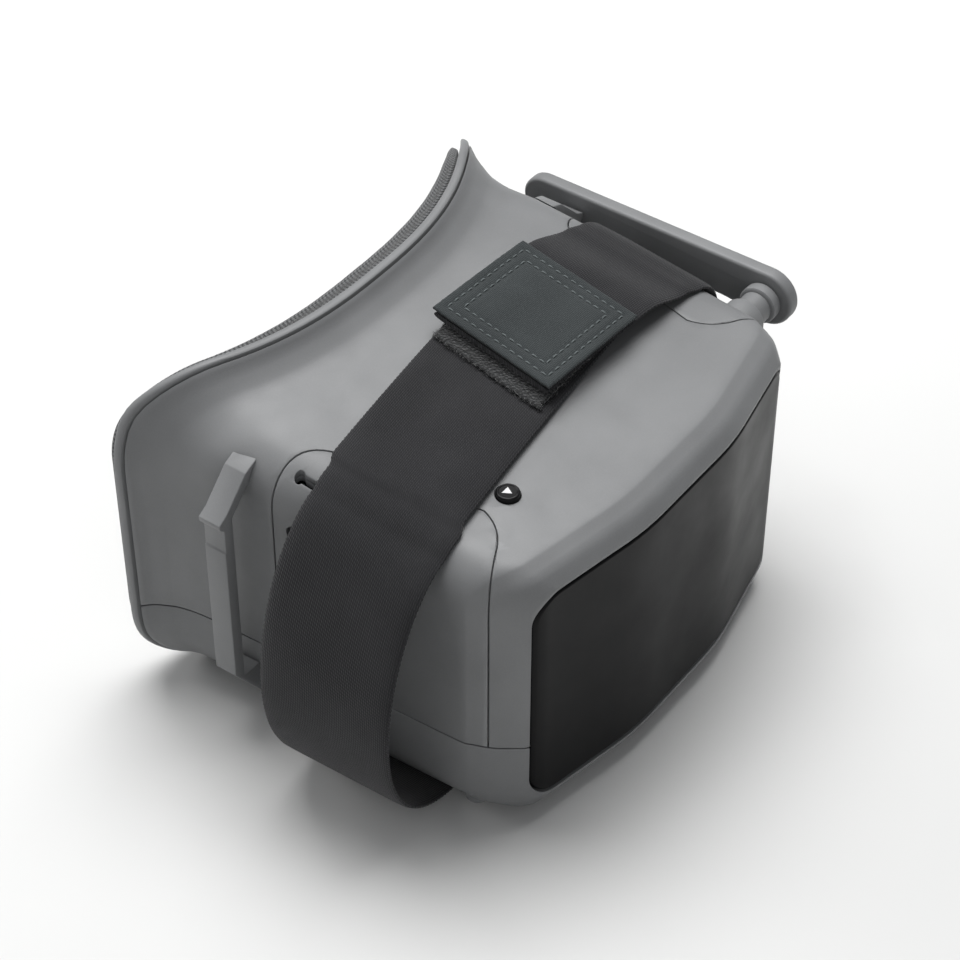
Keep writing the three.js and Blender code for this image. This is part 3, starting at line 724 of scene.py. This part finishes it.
def screw_holes():
    made = []
    for name, x, y in SCREWS:
        made.append(prism("bore_" + name, circle(x, y, 1.4, 24), "z", SCREW_HEAD_Z, 31))
        made.append(prism("sink_" + name, circle(x, y, 2.7, 40), "z", -5, SCREW_HEAD_Z + 1.8))
    return made


def build_shells():
    outer = grown_hood("outer")
    inner = grown_hood("inner", WALL, WALL + PLATE + CLEAR, 9, 3)
    recess = plate_form("recess", CLEAR, [(-2, 0), (PLATE + CLEAR, 0)])
    whole = cut(copy(outer, "whole"), inner, recess)
    bosses, holes = screw_bosses(), screw_holes()
    combine(whole, bosses, "UNION")
    cut(whole, *holes)
    above = slab("above", PARTING_Z + SEAM / 2, 110)
    below = slab("below", -10, PARTING_Z - SEAM / 2)

    seats = prism("seats", panel_plan(0), "z", PARTING_Z + SEAM / 2, 100)
    other = mirrored(seats, "other_seats")
    core = grown_hood("core", PANEL["skin"] + CLEAR, 0, 9)
    cut(seats, core)
    cut(other, core)
    keys = [prism(name + "_hole", circle(KEY_X, y, KEY_R + 0.25, 40), "z", 70, 100) for name, y, _ in KEYS]
    right, left = side_openings(), left_openings()
    upper = combine(copy(whole, "upper_shell_skin"), [above], "INTERSECT")
    cut(upper, seats, other, *keys, *right, *left)

    lower = combine(copy(whole, "lower_shell_skin"), [below], "INTERSECT")
    cut_away(lower, nose_cut())

    skin_core = grown_hood("skin_core", PANEL["skin"], 0, 9)
    plan = prism("plan", panel_plan(SEAM), "z", PARTING_Z + SEAM / 2, 100)
    panel = combine(cut(copy(outer, "side_panel_right_skin"), skin_core), [plan], "INTERSECT")
    panel_left = mirrored(panel, "side_panel_left_skin")
    cut(panel, *right)
    cut(panel_left, *left)
    drop(outer, inner, recess, whole, above, below, seats, other, core, skin_core, plan)
    drop(*bosses, *holes, *keys, *right, *left)

    for obj in (upper, lower, panel, panel_left):
        weld(obj, 0.02)
        soften(obj, 0.16, 2, 40)
        dress(obj, SHELL, 30, [obj.name.removesuffix("_skin")])


def build_front_plate():
    rows = [(0.02, 1.15), (0, 0.95), (0.06, 0.7), (0.32, 0.4), (0.75, 0.14), (1.2, 0.02), (PLATE, 0)]
    plate = plate_form("front_plate_skin", 0, rows)
    dress(plate, PLATE_BLACK, 40, ["front_plate"])


# ---- Face rim, cushion and nose shield ----


def face_rings(rows, **steps):
    """Rings on the face curve, from (shift, half width, top, bottom, radius) rows."""
    return [ring((1, *row), **steps) for row in rows]


def build_face_frame():
    rows = [(-2.5, 0.65), (-2.35, 0.3), (-2.05, 0.08), (-1.6, 0)]
    rows += [(-0.9, 0), (-0.5, 0.1), (-0.2, 0.35), (0, 0.75)]
    fine = {"arc_steps": 16, "flat_steps": 44}
    stations = [(dy, LIP_HALF - d, LIP_TOP - d, d, 23.5 - d) for dy, d in rows]
    rim = skin("face_frame_skin", face_rings(stations, **fine))
    hole = skin("hole", face_rings([(-9, 56, 80.5, 13, 15), (9, 56, 80.5, 13, 15)], **fine))
    cut_away(rim, hole, nose_cut())
    weld(rim, 0.02)
    soften(rim, 0.3, 2, 50)
    dress(rim, SHELL, 30, ["face_frame"])


# The cushion's outer and inner outlines: half width, top, bottom and corner radius.
CUSHION_OUT = (66.6, 90.2, 3, 21)
CUSHION_IN = (57, 81.5, 12, 15)


def cushion_section(steps=72):
    """Shares of the way from the outer to the inner outline, with the height over the rim of each."""
    rows = []
    for a in np.linspace(0, TURN, steps, endpoint=False):
        c, s = cos(a), sin(a)
        side = copysign(abs(c) ** 0.62, c)
        rise = copysign(abs(s) ** (0.8 if s > 0 else 0.35), s)
        share = 0.5 - 0.5 * side
        height = 3.4 + (2.8 if s > 0 else 2.75) * rise
        groove = 0.5 * exp(-(((share - 0.2) / 0.045) ** 2)) if s > 0 else 0
        rows.append((share, height - groove))
    return rows


def build_cushion():
    fine = {"arc_steps": 24, "flat_steps": 90}
    rings, uv, across = [], [], 0.0
    section = cushion_section()
    for k, (share, height) in enumerate(section):
        size = [lerp(a, b, share) for a, b in zip(CUSHION_OUT, CUSHION_IN)]
        points = ring((1, 0, *size), **fine)
        points = np.roll(points, len(points) // 4, axis=0)
        points[:, 1] += height * (1 - 0.42 * np.minimum(1, np.abs(points[:, 0]) / 62) ** 2)
        along = np.concatenate([[0], np.cumsum(np.linalg.norm(np.diff(points, axis=0), axis=1))])
        puff = 0.16 * np.sin(along / 9.5 * TURN) * sin(pi * k / len(section)) ** 2
        points[:, 1] += puff
        if k:
            across += hypot((share - section[k - 1][0]) * 9.6, height - section[k - 1][1])
        rings.append(points)
        uv.append(np.column_stack([along, np.full(len(along), across)]))
    cushion = skin("face_cushion_cover", rings, closed=True, uv=np.vstack(uv))
    cut_away(cushion, nose_cut())
    soften(cushion, 0.8, 3, 50)
    dress(cushion, KNIT, 50, ["face_cushion"])


def build_nose_shield():
    """A thin rubber arch with a rolled edge towards the face."""
    rings = []
    angles = np.radians(np.linspace(0, 180, 41))
    for f, flare in ((0, 0), (0.06, 0), (0.5, 0), (0.9, 0), (0.97, 0.05), (1, 0.2)):
        outer, inner = 14.2 - 0.25 * (flare > 0.1), 12.4 + flare
        path = []
        for radius in (outer, inner):
            legs = [(radius, z) for z in np.linspace(4, 10, 6, endpoint=False)]
            bend = [(radius * cos(a), 10 + radius * sin(a)) for a in angles]
            path.append(legs + bend + [(-x, z) for x, z in legs[::-1]])
        x, z = np.array(path[0] + path[1][::-1]).T
        face = face_y(x, z)
        rings.append(np.column_stack([x, lerp(face - 18.5, face + 2.9, f), z]))
    shield = skin("nose_shield_skin", rings)
    soften(shield, 0.35, 3, 40, clamp=True)
    dress(shield, RUBBER, 40, ["nose_shield"])


# ---- Strap brackets ----


def build_brackets():
    wall = size_at((BRACKET["front"] + BRACKET["rear"]) / 2)[0]
    shape = [(wall + out, z) for out, z in BRACKET_LINE]
    bracket = prism("strap_bracket_left_skin", shape, "y", BRACKET["front"], BRACKET["rear"])
    deep = wall + BRACKET["slot"]
    slot = [(50, 19.5), (deep, 19.5), (deep, 69.8), (wall, 75.5), (50, 75.5)]
    cut_away(bracket, prism("slot", slot, "y", 70, 99))
    soften(bracket, 0.7, 3, 20, clamp=True)
    cut_away(bracket, grown_hood("keep_off", -CLEAR))
    other = mirrored(bracket, "strap_bracket_right_skin")
    dress(bracket, SHELL, 35, ["strap_bracket_left"])
    dress(other, SHELL, 35, ["strap_bracket_right"])


# ---- Keys and power button ----


def shifted(shape, x, y):
    return [(x + a, y + b) for a, b in shape]


def build_keys():
    marks = {
        "key_up": [(-1.15, 0.85), (0, -1.15), (1.15, 0.85)],
        "key_down": [(-1.15, -0.85), (0, 1.15), (1.15, -0.85)],
        "key_menu": rounded(-1.1, -0.35, 1.1, 0.35, 0.3, 4),
    }
    for name, y, proud in KEYS:
        top = top_z(KEY_X, y) + proud
        rim, dish = KEY_R - 0.55, 0.22
        cap = [(0, KEY_FOOT), (1.2, KEY_FOOT), (1.4, KEY_FOOT + 0.2), (1.4, top - proud - 2.2)]
        cap += [(KEY_R, top - proud - 2.2), (KEY_R, top - 0.45)]
        cap += [(KEY_R - 0.07, top - 0.22), (KEY_R - 0.22, top - 0.07), (KEY_R - 0.4, top)]
        cap += [(rim, top - 0.02), (rim - 0.18, top - dish), (0.9, top - dish - 0.02), (0, top - dish - 0.03)]
        key = turned(name + "_cap", cap, "z", KEY_X, y)
        dress(key, KEY_BLACK, 45, [name], body=name)
        floor = top - dish - 0.03
        mark = prism(name + "_mark", shifted(marks[name], KEY_X, y), "z", floor, floor + 0.12)
        dress(mark, INK, body=name)


def build_power_button():
    wall = size_at(POWER["y"])[0]
    r, top = POWER["r"], wall + POWER["proud"]
    profile = [(0, wall - 2.8), (r, wall - 2.8), (r, top - 0.5), (r - 0.12, top - 0.2), (r - 0.4, top)]
    profile += [(r - 0.9, top), (r - 1.1, top - 0.25), (1, top - 0.32), (0, top - 0.34)]
    button = turned("power_button_cap", profile, "x", POWER["y"], POWER["z"])
    dress(button, KEY_BLACK, 45, ["power_button"], body="power_button")
    mark = shifted(rounded(-0.22, -1.3, 0.22, 1.3, 0.2, 4), POWER["y"], POWER["z"])
    line = prism("power_button_mark", mark, "x", top - 0.36, top - 0.22)
    dress(line, INK, body="power_button")


# ---- Antenna ----


def build_antenna():
    y, z, disc = ANTENNA["y"], ANTENNA["z"], ANTENNA["disc"]
    end_r = (ANTENNA["high"] - ANTENNA["low"]) / 2
    shape = [(y + s, z + disc) for s in (0, 0.5)]
    shape += arc(ANTENNA["tip"] - end_r, ANTENNA["low"] + end_r, end_r, 90, -90, 28)
    shape += list(bezier([(y + 14, ANTENNA["low"]), (y + 9, ANTENNA["low"]), (y + 4.8, z - 5.8)], 8))
    shape += arc(y, z, disc, -52, -270, 40)[:-1]
    blade = prism("antenna_blade_skin", shape, "x", ANTENNA["in"], ANTENNA["out"])
    recess = rounded(y + 12, z - 1.4, ANTENNA["tip"] - 8, z + 4.4, 1, 6)
    groove = prism("groove", recess, "x", ANTENNA["out"] - 0.35, ANTENNA["out"] + 2)
    soften(blade, 0.9, 4, 40, clamp=True)
    cut_away(blade, prism("hole", circle(y, z, PIN_R + 0.15, 32), "x", 60, 80), groove)
    soften(blade, 0.15, 2, 50)
    dress(blade, SHELL, 35, ["antenna_blade"], body="antenna")

    rim = ANTENNA["in"] - CLEAR
    base, neck, collar = BOSS["base"], BOSS["neck"], BOSS["collar"]
    step, start = BOSS["base_end"], BOSS["collar_start"]
    profile = [(PIN_R + 0.15, 52), (base, 52), (base, step - 0.6), (base - 0.2, step - 0.15)]
    profile += [(base - 0.6, step), (neck + 0.15, step), (neck, step + 0.2), (neck, start - 0.1)]
    profile += [(collar - 0.35, start), (collar, start + 0.35)]
    profile += [(collar, rim - 0.5), (collar - 0.15, rim - 0.15)]
    profile += [(collar - 0.5, rim), (PIN_R + 0.5, rim), (PIN_R + 0.15, rim - 0.3), (PIN_R + 0.15, 52)]
    boss = turned("antenna_boss_skin", profile, "x", y, z)
    cut_away(boss, grown_hood("keep_off", -CLEAR))
    dress(boss, SHELL, 35, ["antenna_boss"])

    head = ANTENNA["out"] + CLEAR
    profile = [(0, 55), (PIN_R - 0.3, 55), (PIN_R, 55.3), (PIN_R, head), (2.8, head), (3, head + 0.2)]
    profile += [(3, head + 0.7), (2.7, head + 1.05), (1.6, head + 1.18), (0, head + 1.2)]
    pin = turned("antenna_pin_skin", profile, "x", y, z)
    cut_away(pin, prism("slot", rectangle(y - 0.3, z - 4, y + 0.3, z + 4), "x", head + 0.6, 80))
    soften(pin, 0.06, 2, 50)
    dress(pin, STEEL, 35, ["antenna_pin"])


# ---- Head strap ----

STACK = STRAP["thick"] + 2 * PAD["thick"] + 3 * CLEAR
LIFT = STRAP["gap"] + STRAP["thick"] / 2


def low_y(x, across):
    """The lower layer's place along Y; across is measured from its middle."""
    return STRAP["y"] + STRAP["skew"] * x + across


def high_y(x, across):
    return PATCH["y"] + PATCH["skew"] * (x - 12) + across


def loop_y(x, across):
    return PAD["loop_y"] + PAD["loop_skew"] * (x - 12) + across


def shoulder(side, angle, y):
    w, top, _, r = size_at(y)
    x = w - r + (r + LIFT) * sin(angle)
    return side * x, y, top - CROWN * (min(x, w) / w) ** 2 - r + (r + LIFT) * cos(angle)


def strap_line(across):
    """A line along the strap at one place across it, from its under end round to its upper end."""
    low = STRAP["thick"] / 2
    right_y, foot_y, upper_y = low_y(-60, across), low_y(60, across), high_y(60, across)
    w, _, _, r = size_at(right_y)
    points = []
    for x in np.arange(STRAP["under_end"], -(w - r), -1.5):
        y = low_y(x, across)
        points.append((x, y, top_z(x, y) + LIFT))
    points += [shoulder(-1, angle, right_y) for angle in np.linspace(0.1, 0.7, 7)]
    x, _, z = points[-1]
    loose = [(x, z), (x - LOOSE["out"], z - LOOSE["fall"]), (-w - LOOSE["low"], low), (-(w - 14), low)]
    for x, z in bezier(loose, 60)[1:]:
        points.append((x, lerp(right_y, low_y(x, across), 0.5), z))
    start = -(w - 14)
    w, _, bottom, r = size_at(foot_y)
    for x in np.arange(start + 4, w - r, 2.5):
        points.append((x, low_y(x, across), low))
    foot = bottom + r - low
    for angle in np.linspace(0.06, pi / 2, 14):
        x = w - r + (r + LIFT) * sin(angle)
        points.append((x, foot_y, bottom + r - foot * cos(angle)))
    turn = shoulder(1, pi / 2, upper_y)[2]
    for z in np.arange(bottom + r + 2.5, turn - 1, 2.5):
        points.append((w + LIFT, lerp(foot_y, upper_y, (z - bottom - r) / (turn - bottom - r)), z))
    points += [shoulder(1, angle, upper_y) for angle in np.linspace(pi / 2, 0.15, 14)]
    start, end, last = 48.0, STRAP["under_end"] + 1.5, PATCH["from"]
    for x in np.arange(start, last, -1.0):
        f = min(1, (start - x) / (start - end))
        x += PATCH["lean"] * across * max(0, (end - x) / (end - last))
        y = high_y(x, across)
        points.append((x, y, top_z(x, y) + LIFT + STACK * f * f * (3 - 2 * f)))
    x = last + PATCH["lean"] * across
    y = high_y(x, across)
    points.append((x, y, top_z(x, y) + LIFT + STACK))
    return np.array(points)


def even(points, spacing, easing=3):
    """The same line with evenly spaced points and eased corners."""
    gaps = np.linalg.norm(np.diff(points, axis=0), axis=1)
    along = np.concatenate([[0], np.cumsum(gaps)])
    places = np.linspace(0, along[-1], round(along[-1] / spacing) + 1)
    line = np.column_stack([np.interp(places, along, points[:, k]) for k in range(3)])
    for _ in range(easing):
        line[1:-1] = line[:-2] / 4 + line[1:-1] / 2 + line[2:] / 4
    return line


def strap_length():
    line = even(strap_line(0), 0.5)
    return float(np.linalg.norm(np.diff(line, axis=0), axis=1).sum())


def build_strap():
    """Webbing with rounded, slightly scalloped selvedges, laid along its line."""
    steps, length = 900, strap_length()
    half, thick = STRAP["width"] / 2, STRAP["thick"] / 2
    across = [-1, -0.985, -0.94, -0.8, -0.6, -0.4, -0.2, 0, 0.2, 0.4, 0.6, 0.8, 0.94, 0.985, 1]
    upper, lower = [], []
    for share in across:
        line = even(strap_line(share * half), 0.5)
        along = np.linspace(0, 1, len(line))
        places = np.linspace(0, 1, steps)
        line = np.column_stack([np.interp(places, along, line[:, k]) for k in range(3)])
        way = np.gradient(line[:, ::2], axis=0)
        way /= np.linalg.norm(way, axis=1)[:, None]
        normal = np.column_stack([-way[:, 1], 0 * places, way[:, 0]])
        body = thick * (1 - 0.62 * max(0, (abs(share) - 0.9) / 0.1) ** 2) - 0.02
        scallop = 0.09 * np.sin(places * length / 1.3 * TURN) * (abs(share) > 0.97)
        line[:, 1] -= np.sign(share) * (0.14 + scallop)
        for side, rows in ((1, upper), (-1, lower)):
            flat = line + normal * body * side
            rows.append(np.column_stack([flat[:, 0], flat[:, 1], np.maximum(0.01, flat[:, 2])]))
    n = len(across)
    rings, uv = [], []
    distance = np.linspace(0, length, steps)
    width = [s * half for s in across]
    for k in range(steps):
        rings.append(np.array([row[k] for row in upper] + [row[k] for row in lower[::-1]]))
        uv.append(np.column_stack([np.full(2 * n, distance[k]), width + width[::-1]]))
    strap = skin("head_strap_webbing", rings, uv=np.vstack(uv))
    dress(strap, WEBBING, 60, ["head_strap"])


def top_pad(name, start, end, width, y_at, low, thick, rough, seed, dip=None):
    """A flat pad over the top surface, with rounded edges; rough frays its outline."""
    high = low + thick
    rng = np.random.default_rng(seed)
    nx, ny = 64, 60
    half = width / 2
    points, index = [], {}
    wobble = [rng.normal(0, rough, nx + 1), rng.normal(0, rough, nx + 1)]
    wobble_x = [rng.normal(0, rough, ny + 1), rng.normal(0, rough, ny + 1)]
    for level in (0, 1):
        for i in range(nx + 1):
            for j in range(ny + 1):
                u, v = 2 * i / nx - 1, 2 * j / ny - 1
                u, v = sin(u * pi / 2), sin(v * pi / 2)
                x = lerp(start, end, (u + 1) / 2)
                y = y_at(x, v * half)
                x += PATCH["lean"] * v * half
                x += wobble_x[0 if u < 0 else 1][j] * max(0, abs(u) * 8 - 7)
                y += wobble[0 if v < 0 else 1][i] * max(0, abs(v) * 8 - 7)
                edge = min((1 - abs(u)) * (end - start) / 2, (1 - abs(v)) * half)
                round_off = max(0, 1 - edge / 0.5) ** 2
                middle, span = (low + high) / 2, (high - low) / 2
                height = middle + (1 if level else -1) * span * (1 - 0.55 * round_off)
                if level and dip:
                    height -= dip(edge)
                index[level, i, j] = len(points)
                points.append((x, y, top_z(x, y) + height))
    faces = []
    for i in range(nx):
        for j in range(ny):
            for level in (0, 1):
                faces.append(tuple(index[level, i + a, j + b] for a, b in ((0, 0), (1, 0), (1, 1), (0, 1))))
    rim = [(i, 0) for i in range(nx)] + [(nx, j) for j in range(ny)]
    rim += [(i, ny) for i in range(nx, 0, -1)] + [(0, j) for j in range(ny, 0, -1)]
    for a, b in zip(rim, rim[1:] + rim[:1]):
        faces.append((index[0, *a], index[0, *b], index[1, *b], index[1, *a]))
    flat = np.array(points)[:, :2]
    return make(name, points, faces, flat)


def tubes(name, lines, radius, sides=6):
    """Thin round strands along lines of points, as one piece."""
    points, faces = [], []
    for line in lines:
        line = np.asarray(line, float)
        way = np.gradient(line, axis=0)
        way /= np.linalg.norm(way, axis=1)[:, None]
        first = len(points)
        for k, (p, d) in enumerate(zip(line, way)):
            side = np.cross(d, (0.3, 0.2, 0.93))
            side /= np.linalg.norm(side)
            up = np.cross(side, d)
            taper = 0.35 if k in (0, len(line) - 1) else 1
            for s in range(sides):
                a = TURN * s / sides
                points.append(p + radius * taper * (cos(a) * side + sin(a) * up))
        for k in range(len(line) - 1):
            for s in range(sides):
                a, b = first + k * sides + s, first + k * sides + (s + 1) % sides
                faces.append((a, b, b + sides, a + sides))
        last = first + (len(line) - 1) * sides
        faces.append(tuple(range(first + sides - 1, first - 1, -1)))
        faces.append(tuple(range(last, last + sides)))
    return make(name, points, faces)


def pad_corners(start, end, half, y_at):
    """Corners of a pad in plan, all the way round."""
    corners = []
    for x, v in ((start, -half), (end, -half), (end, half), (start, half)):
        corners.append(np.array([x + PATCH["lean"] * v, y_at(x, v)]))
    return corners


STITCH_ROWS = (2.4, 5.2)  # how far the two rows of sewing lie inside the patch's edge
STITCH = {"pitch": 2.3, "length": 1.7}


def stitches(inset, height):
    """Stitches of a rectangle of sewing on the end patch, as short arched lines."""
    corners = pad_corners(PATCH["from"] + inset, PATCH["to"] - inset, PATCH["width"] / 2 - inset, high_y)
    corners.append(corners[0])
    lines = []
    for a, b in zip(corners[:-1], corners[1:]):
        span = np.linalg.norm(b - a)
        count = round(span / STITCH["pitch"])
        for k in range(count):
            middle = lerp(a, b, (k + 0.5) / count)
            step = (b - a) / span * STITCH["length"] / 2
            line = []
            for f in np.linspace(-1, 1, 7):
                x, y = middle + step * f
                line.append((x, y, top_z(x, y) + height + 0.3 * (1 - f * f) - 0.14))
            lines.append(line)
    return lines


def fuzz(name, seed, count, edges, low, reach):
    """Short stray loops along given edges of the hook-and-loop pads."""
    rng = np.random.default_rng(seed)
    lines = []
    for _ in range(count):
        a, b, out = edges[rng.integers(len(edges))]
        x, y = lerp(a, b, rng.random())
        away = np.array(out, float)
        side = np.array([-away[1], away[0]]) * rng.normal(0, 0.7)
        length = reach * rng.uniform(0.4, 1)
        z = rng.uniform(low, low + PAD["thick"])
        bend = rng.uniform(-0.35, 0.5)
        line = []
        for f in np.linspace(0, 1, 5):
            px, py = np.array([x, y]) - away * 0.3 + (away + side * f) * length * f
            line.append((px, py, top_z(x, y) + z + bend * f * f * length))
        lines.append(line)
    dress(tubes(name, lines, 0.055, 4), LOOP_PILE, 80)


def build_closure():
    """The pads between the strap's two ends, and the stitched patch on top."""
    half_thick = STRAP["thick"] / 2
    loop_low = LIFT + half_thick + CLEAR
    hook_low = loop_low + PAD["thick"] + CLEAR
    patch_low = LIFT + STACK + half_thick + CLEAR
    width = STRAP["width"] - 3
    start, end = PAD["loop_from"], PAD["to"]
    loop = top_pad("strap_loop_pile", start, end, width, loop_y, loop_low, PAD["thick"], 0.14, 3)
    start = PAD["hook_from"]
    hook = top_pad("strap_hook_tape", start, end, width, high_y, hook_low, PAD["thick"], 0.1, 4)
    for obj, node in ((loop, "strap_loop_pad"), (hook, "strap_hook_pad")):
        dress(obj, LOOP_PILE, 60, [node])

    def sewn(edge):
        rows = sum(exp(-(((edge - row) / 0.55) ** 2)) for row in STITCH_ROWS)
        return 0.3 * rows - 0.12 * min(1, max(0, edge - STITCH_ROWS[1]) / 6)

    start, end, wide, thick = PATCH["from"], PATCH["to"], PATCH["width"], PATCH["thick"]
    patch = top_pad("strap_end_cover", start, end, wide, high_y, patch_low, thick, 0.03, 5, sewn)
    dress(patch, PATCH_FABRIC, 60, ["strap_end_patch"])
    for name, row in (("strap_end_stitches", STITCH_ROWS[0]), ("strap_end_stitches_inner", STITCH_ROWS[1])):
        line = tubes(name, stitches(row, patch_low + thick - 0.22), 0.2)
        dress(line, THREAD, 80)

    for name, seed, count, start, y_at, low, reach in (
        ("strap_loop_fuzz", 11, 420, PAD["loop_from"], loop_y, loop_low, 1.3),
        ("strap_hook_fuzz", 12, 260, PAD["hook_from"], high_y, hook_low, 0.9),
    ):
        a, b, c, d = pad_corners(start, PAD["to"], width / 2, y_at)
        edges = [(a, d, (-1, 0)), (a, b, (0, -1)), (d, c, (0, 1))]
        fuzz(name, seed, count, edges, low, reach)


# ---- Screws and inner pieces ----


def build_screws():
    for name, x, y in SCREWS:
        low = SCREW_HEAD_Z
        profile = [(0, low), (1.5, low), (2.1, low + 0.2), (2.4, low + 0.6)]
        profile += [(2.4, low + 1.5), (1.1, low + 1.5)]
        for z in np.arange(low + 2, 29, 0.45):
            profile += [(0.9, z), (1.12, z + 0.22)]
        profile += [(0.8, 29.1), (0, 29.5)]
        screw = turned("screw_" + name + "_body", profile, "z", x, y, 32)
        for a, b in ((1.35, 0.32), (0.32, 1.35)):
            cut_away(screw, prism("arm", rectangle(x - a, y - b, x + a, y + b), "z", low - 1, low + 0.9))
        dress(screw, STEEL, 40, ["screw_" + name])


INNER_FINISH = (
    (INNER_BLACK, ("lens_frame", "light_baffle", "screen_holder")),
    (LENS, ("fresnel_lens",)),
    (SCREEN, ("screen_panel",)),
    (BOARD, ("main_board", "control_board", "port_board")),
    (TIN, ("receiver_module", "sd_card_socket", "switch_up", "switch_down", "switch_menu", "power_switch")),
    (WRAP, ("battery_pack",)),
    (KEY_BLACK, ("buzzer", "antenna_lead", "av_jack")),
    (STEEL, ("usb_port",)),
)


def finish_inner_pieces():
    """CAD nodes that stay: rounded edges and a material each."""
    pieces = [(material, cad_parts[node]) for material, nodes in INNER_FINISH for node in nodes]
    for material, obj in pieces:
        paint(obj, material, 28)
        join = obj.modifiers.new("weld", "WELD")
        join.merge_threshold = 0.01 * MM
        rounding(obj, 0.2, 2, 40, clamp=True)


# ---- Stage ----

EYE = (-0.399, -0.279, 0.491)
LIGHT_AIM = (0, 0.01, 0.05)


def build_stage():
    data = bpy.data.meshes.new("floor")
    data.from_pydata([(x, y, 0) for x, y in rectangle(-6, -6, 6, 6)], [], [(0, 1, 2, 3)])
    floor = add("floor", data)
    f = Finish("floor_paper", Roughness=0.85)
    f.set("Base Color", f.mix(f.noise(6, 3), srgb(214, 214, 213), srgb(220, 220, 219)))
    data.materials.append(f.material)


def point(obj, place, aim):
    """Puts a lamp or camera at a place, facing another."""
    obj.location = place
    obj.rotation_euler = (Vector(aim) - Vector(place)).to_track_quat("-Z", "Y").to_euler()


def light(name, place, size, power):
    data = bpy.data.lights.new(name, "AREA")
    data.shape, data.size, data.size_y = "RECTANGLE", size[0], size[1]
    data.energy = power
    point(add(name, data), place, LIGHT_AIM)


def build_lights():
    light("overhead", (0.3, 0.3, 1.3), (1.1, 0.9), 25)
    light("front_fill", (-0.9, -1.0, 0.75), (0.9, 0.9), 2.2)
    light("back_edge", (-0.35, 1.2, 0.7), (0.9, 0.5), 5)
    world = bpy.data.worlds.new("soft_world")
    world.use_nodes = True
    sky = world.node_tree.nodes["Background"].inputs
    sky["Color"].default_value, sky["Strength"].default_value = (0.9, 0.92, 0.95, 1), 0.2
    bpy.context.scene.world = world
    bpy.context.scene.view_settings.view_transform = "Standard"


def build_camera():
    low, high = (Vector(corner) for corner in cad_box)
    data = bpy.data.cameras.new("camera")
    data.sensor_width, data.lens = 36, 104
    camera = add("camera", data)
    point(camera, EYE, (low + high) / 2 + Vector((0, 0, -0.002)))
    bpy.context.scene.camera = camera


build_camera()
build_lights()
build_stage()
build_shells()
build_front_plate()
build_face_frame()
build_cushion()
build_nose_shield()
build_brackets()
build_keys()
build_power_button()
build_antenna()
build_strap()
build_closure()
build_screws()
finish_inner_pieces()
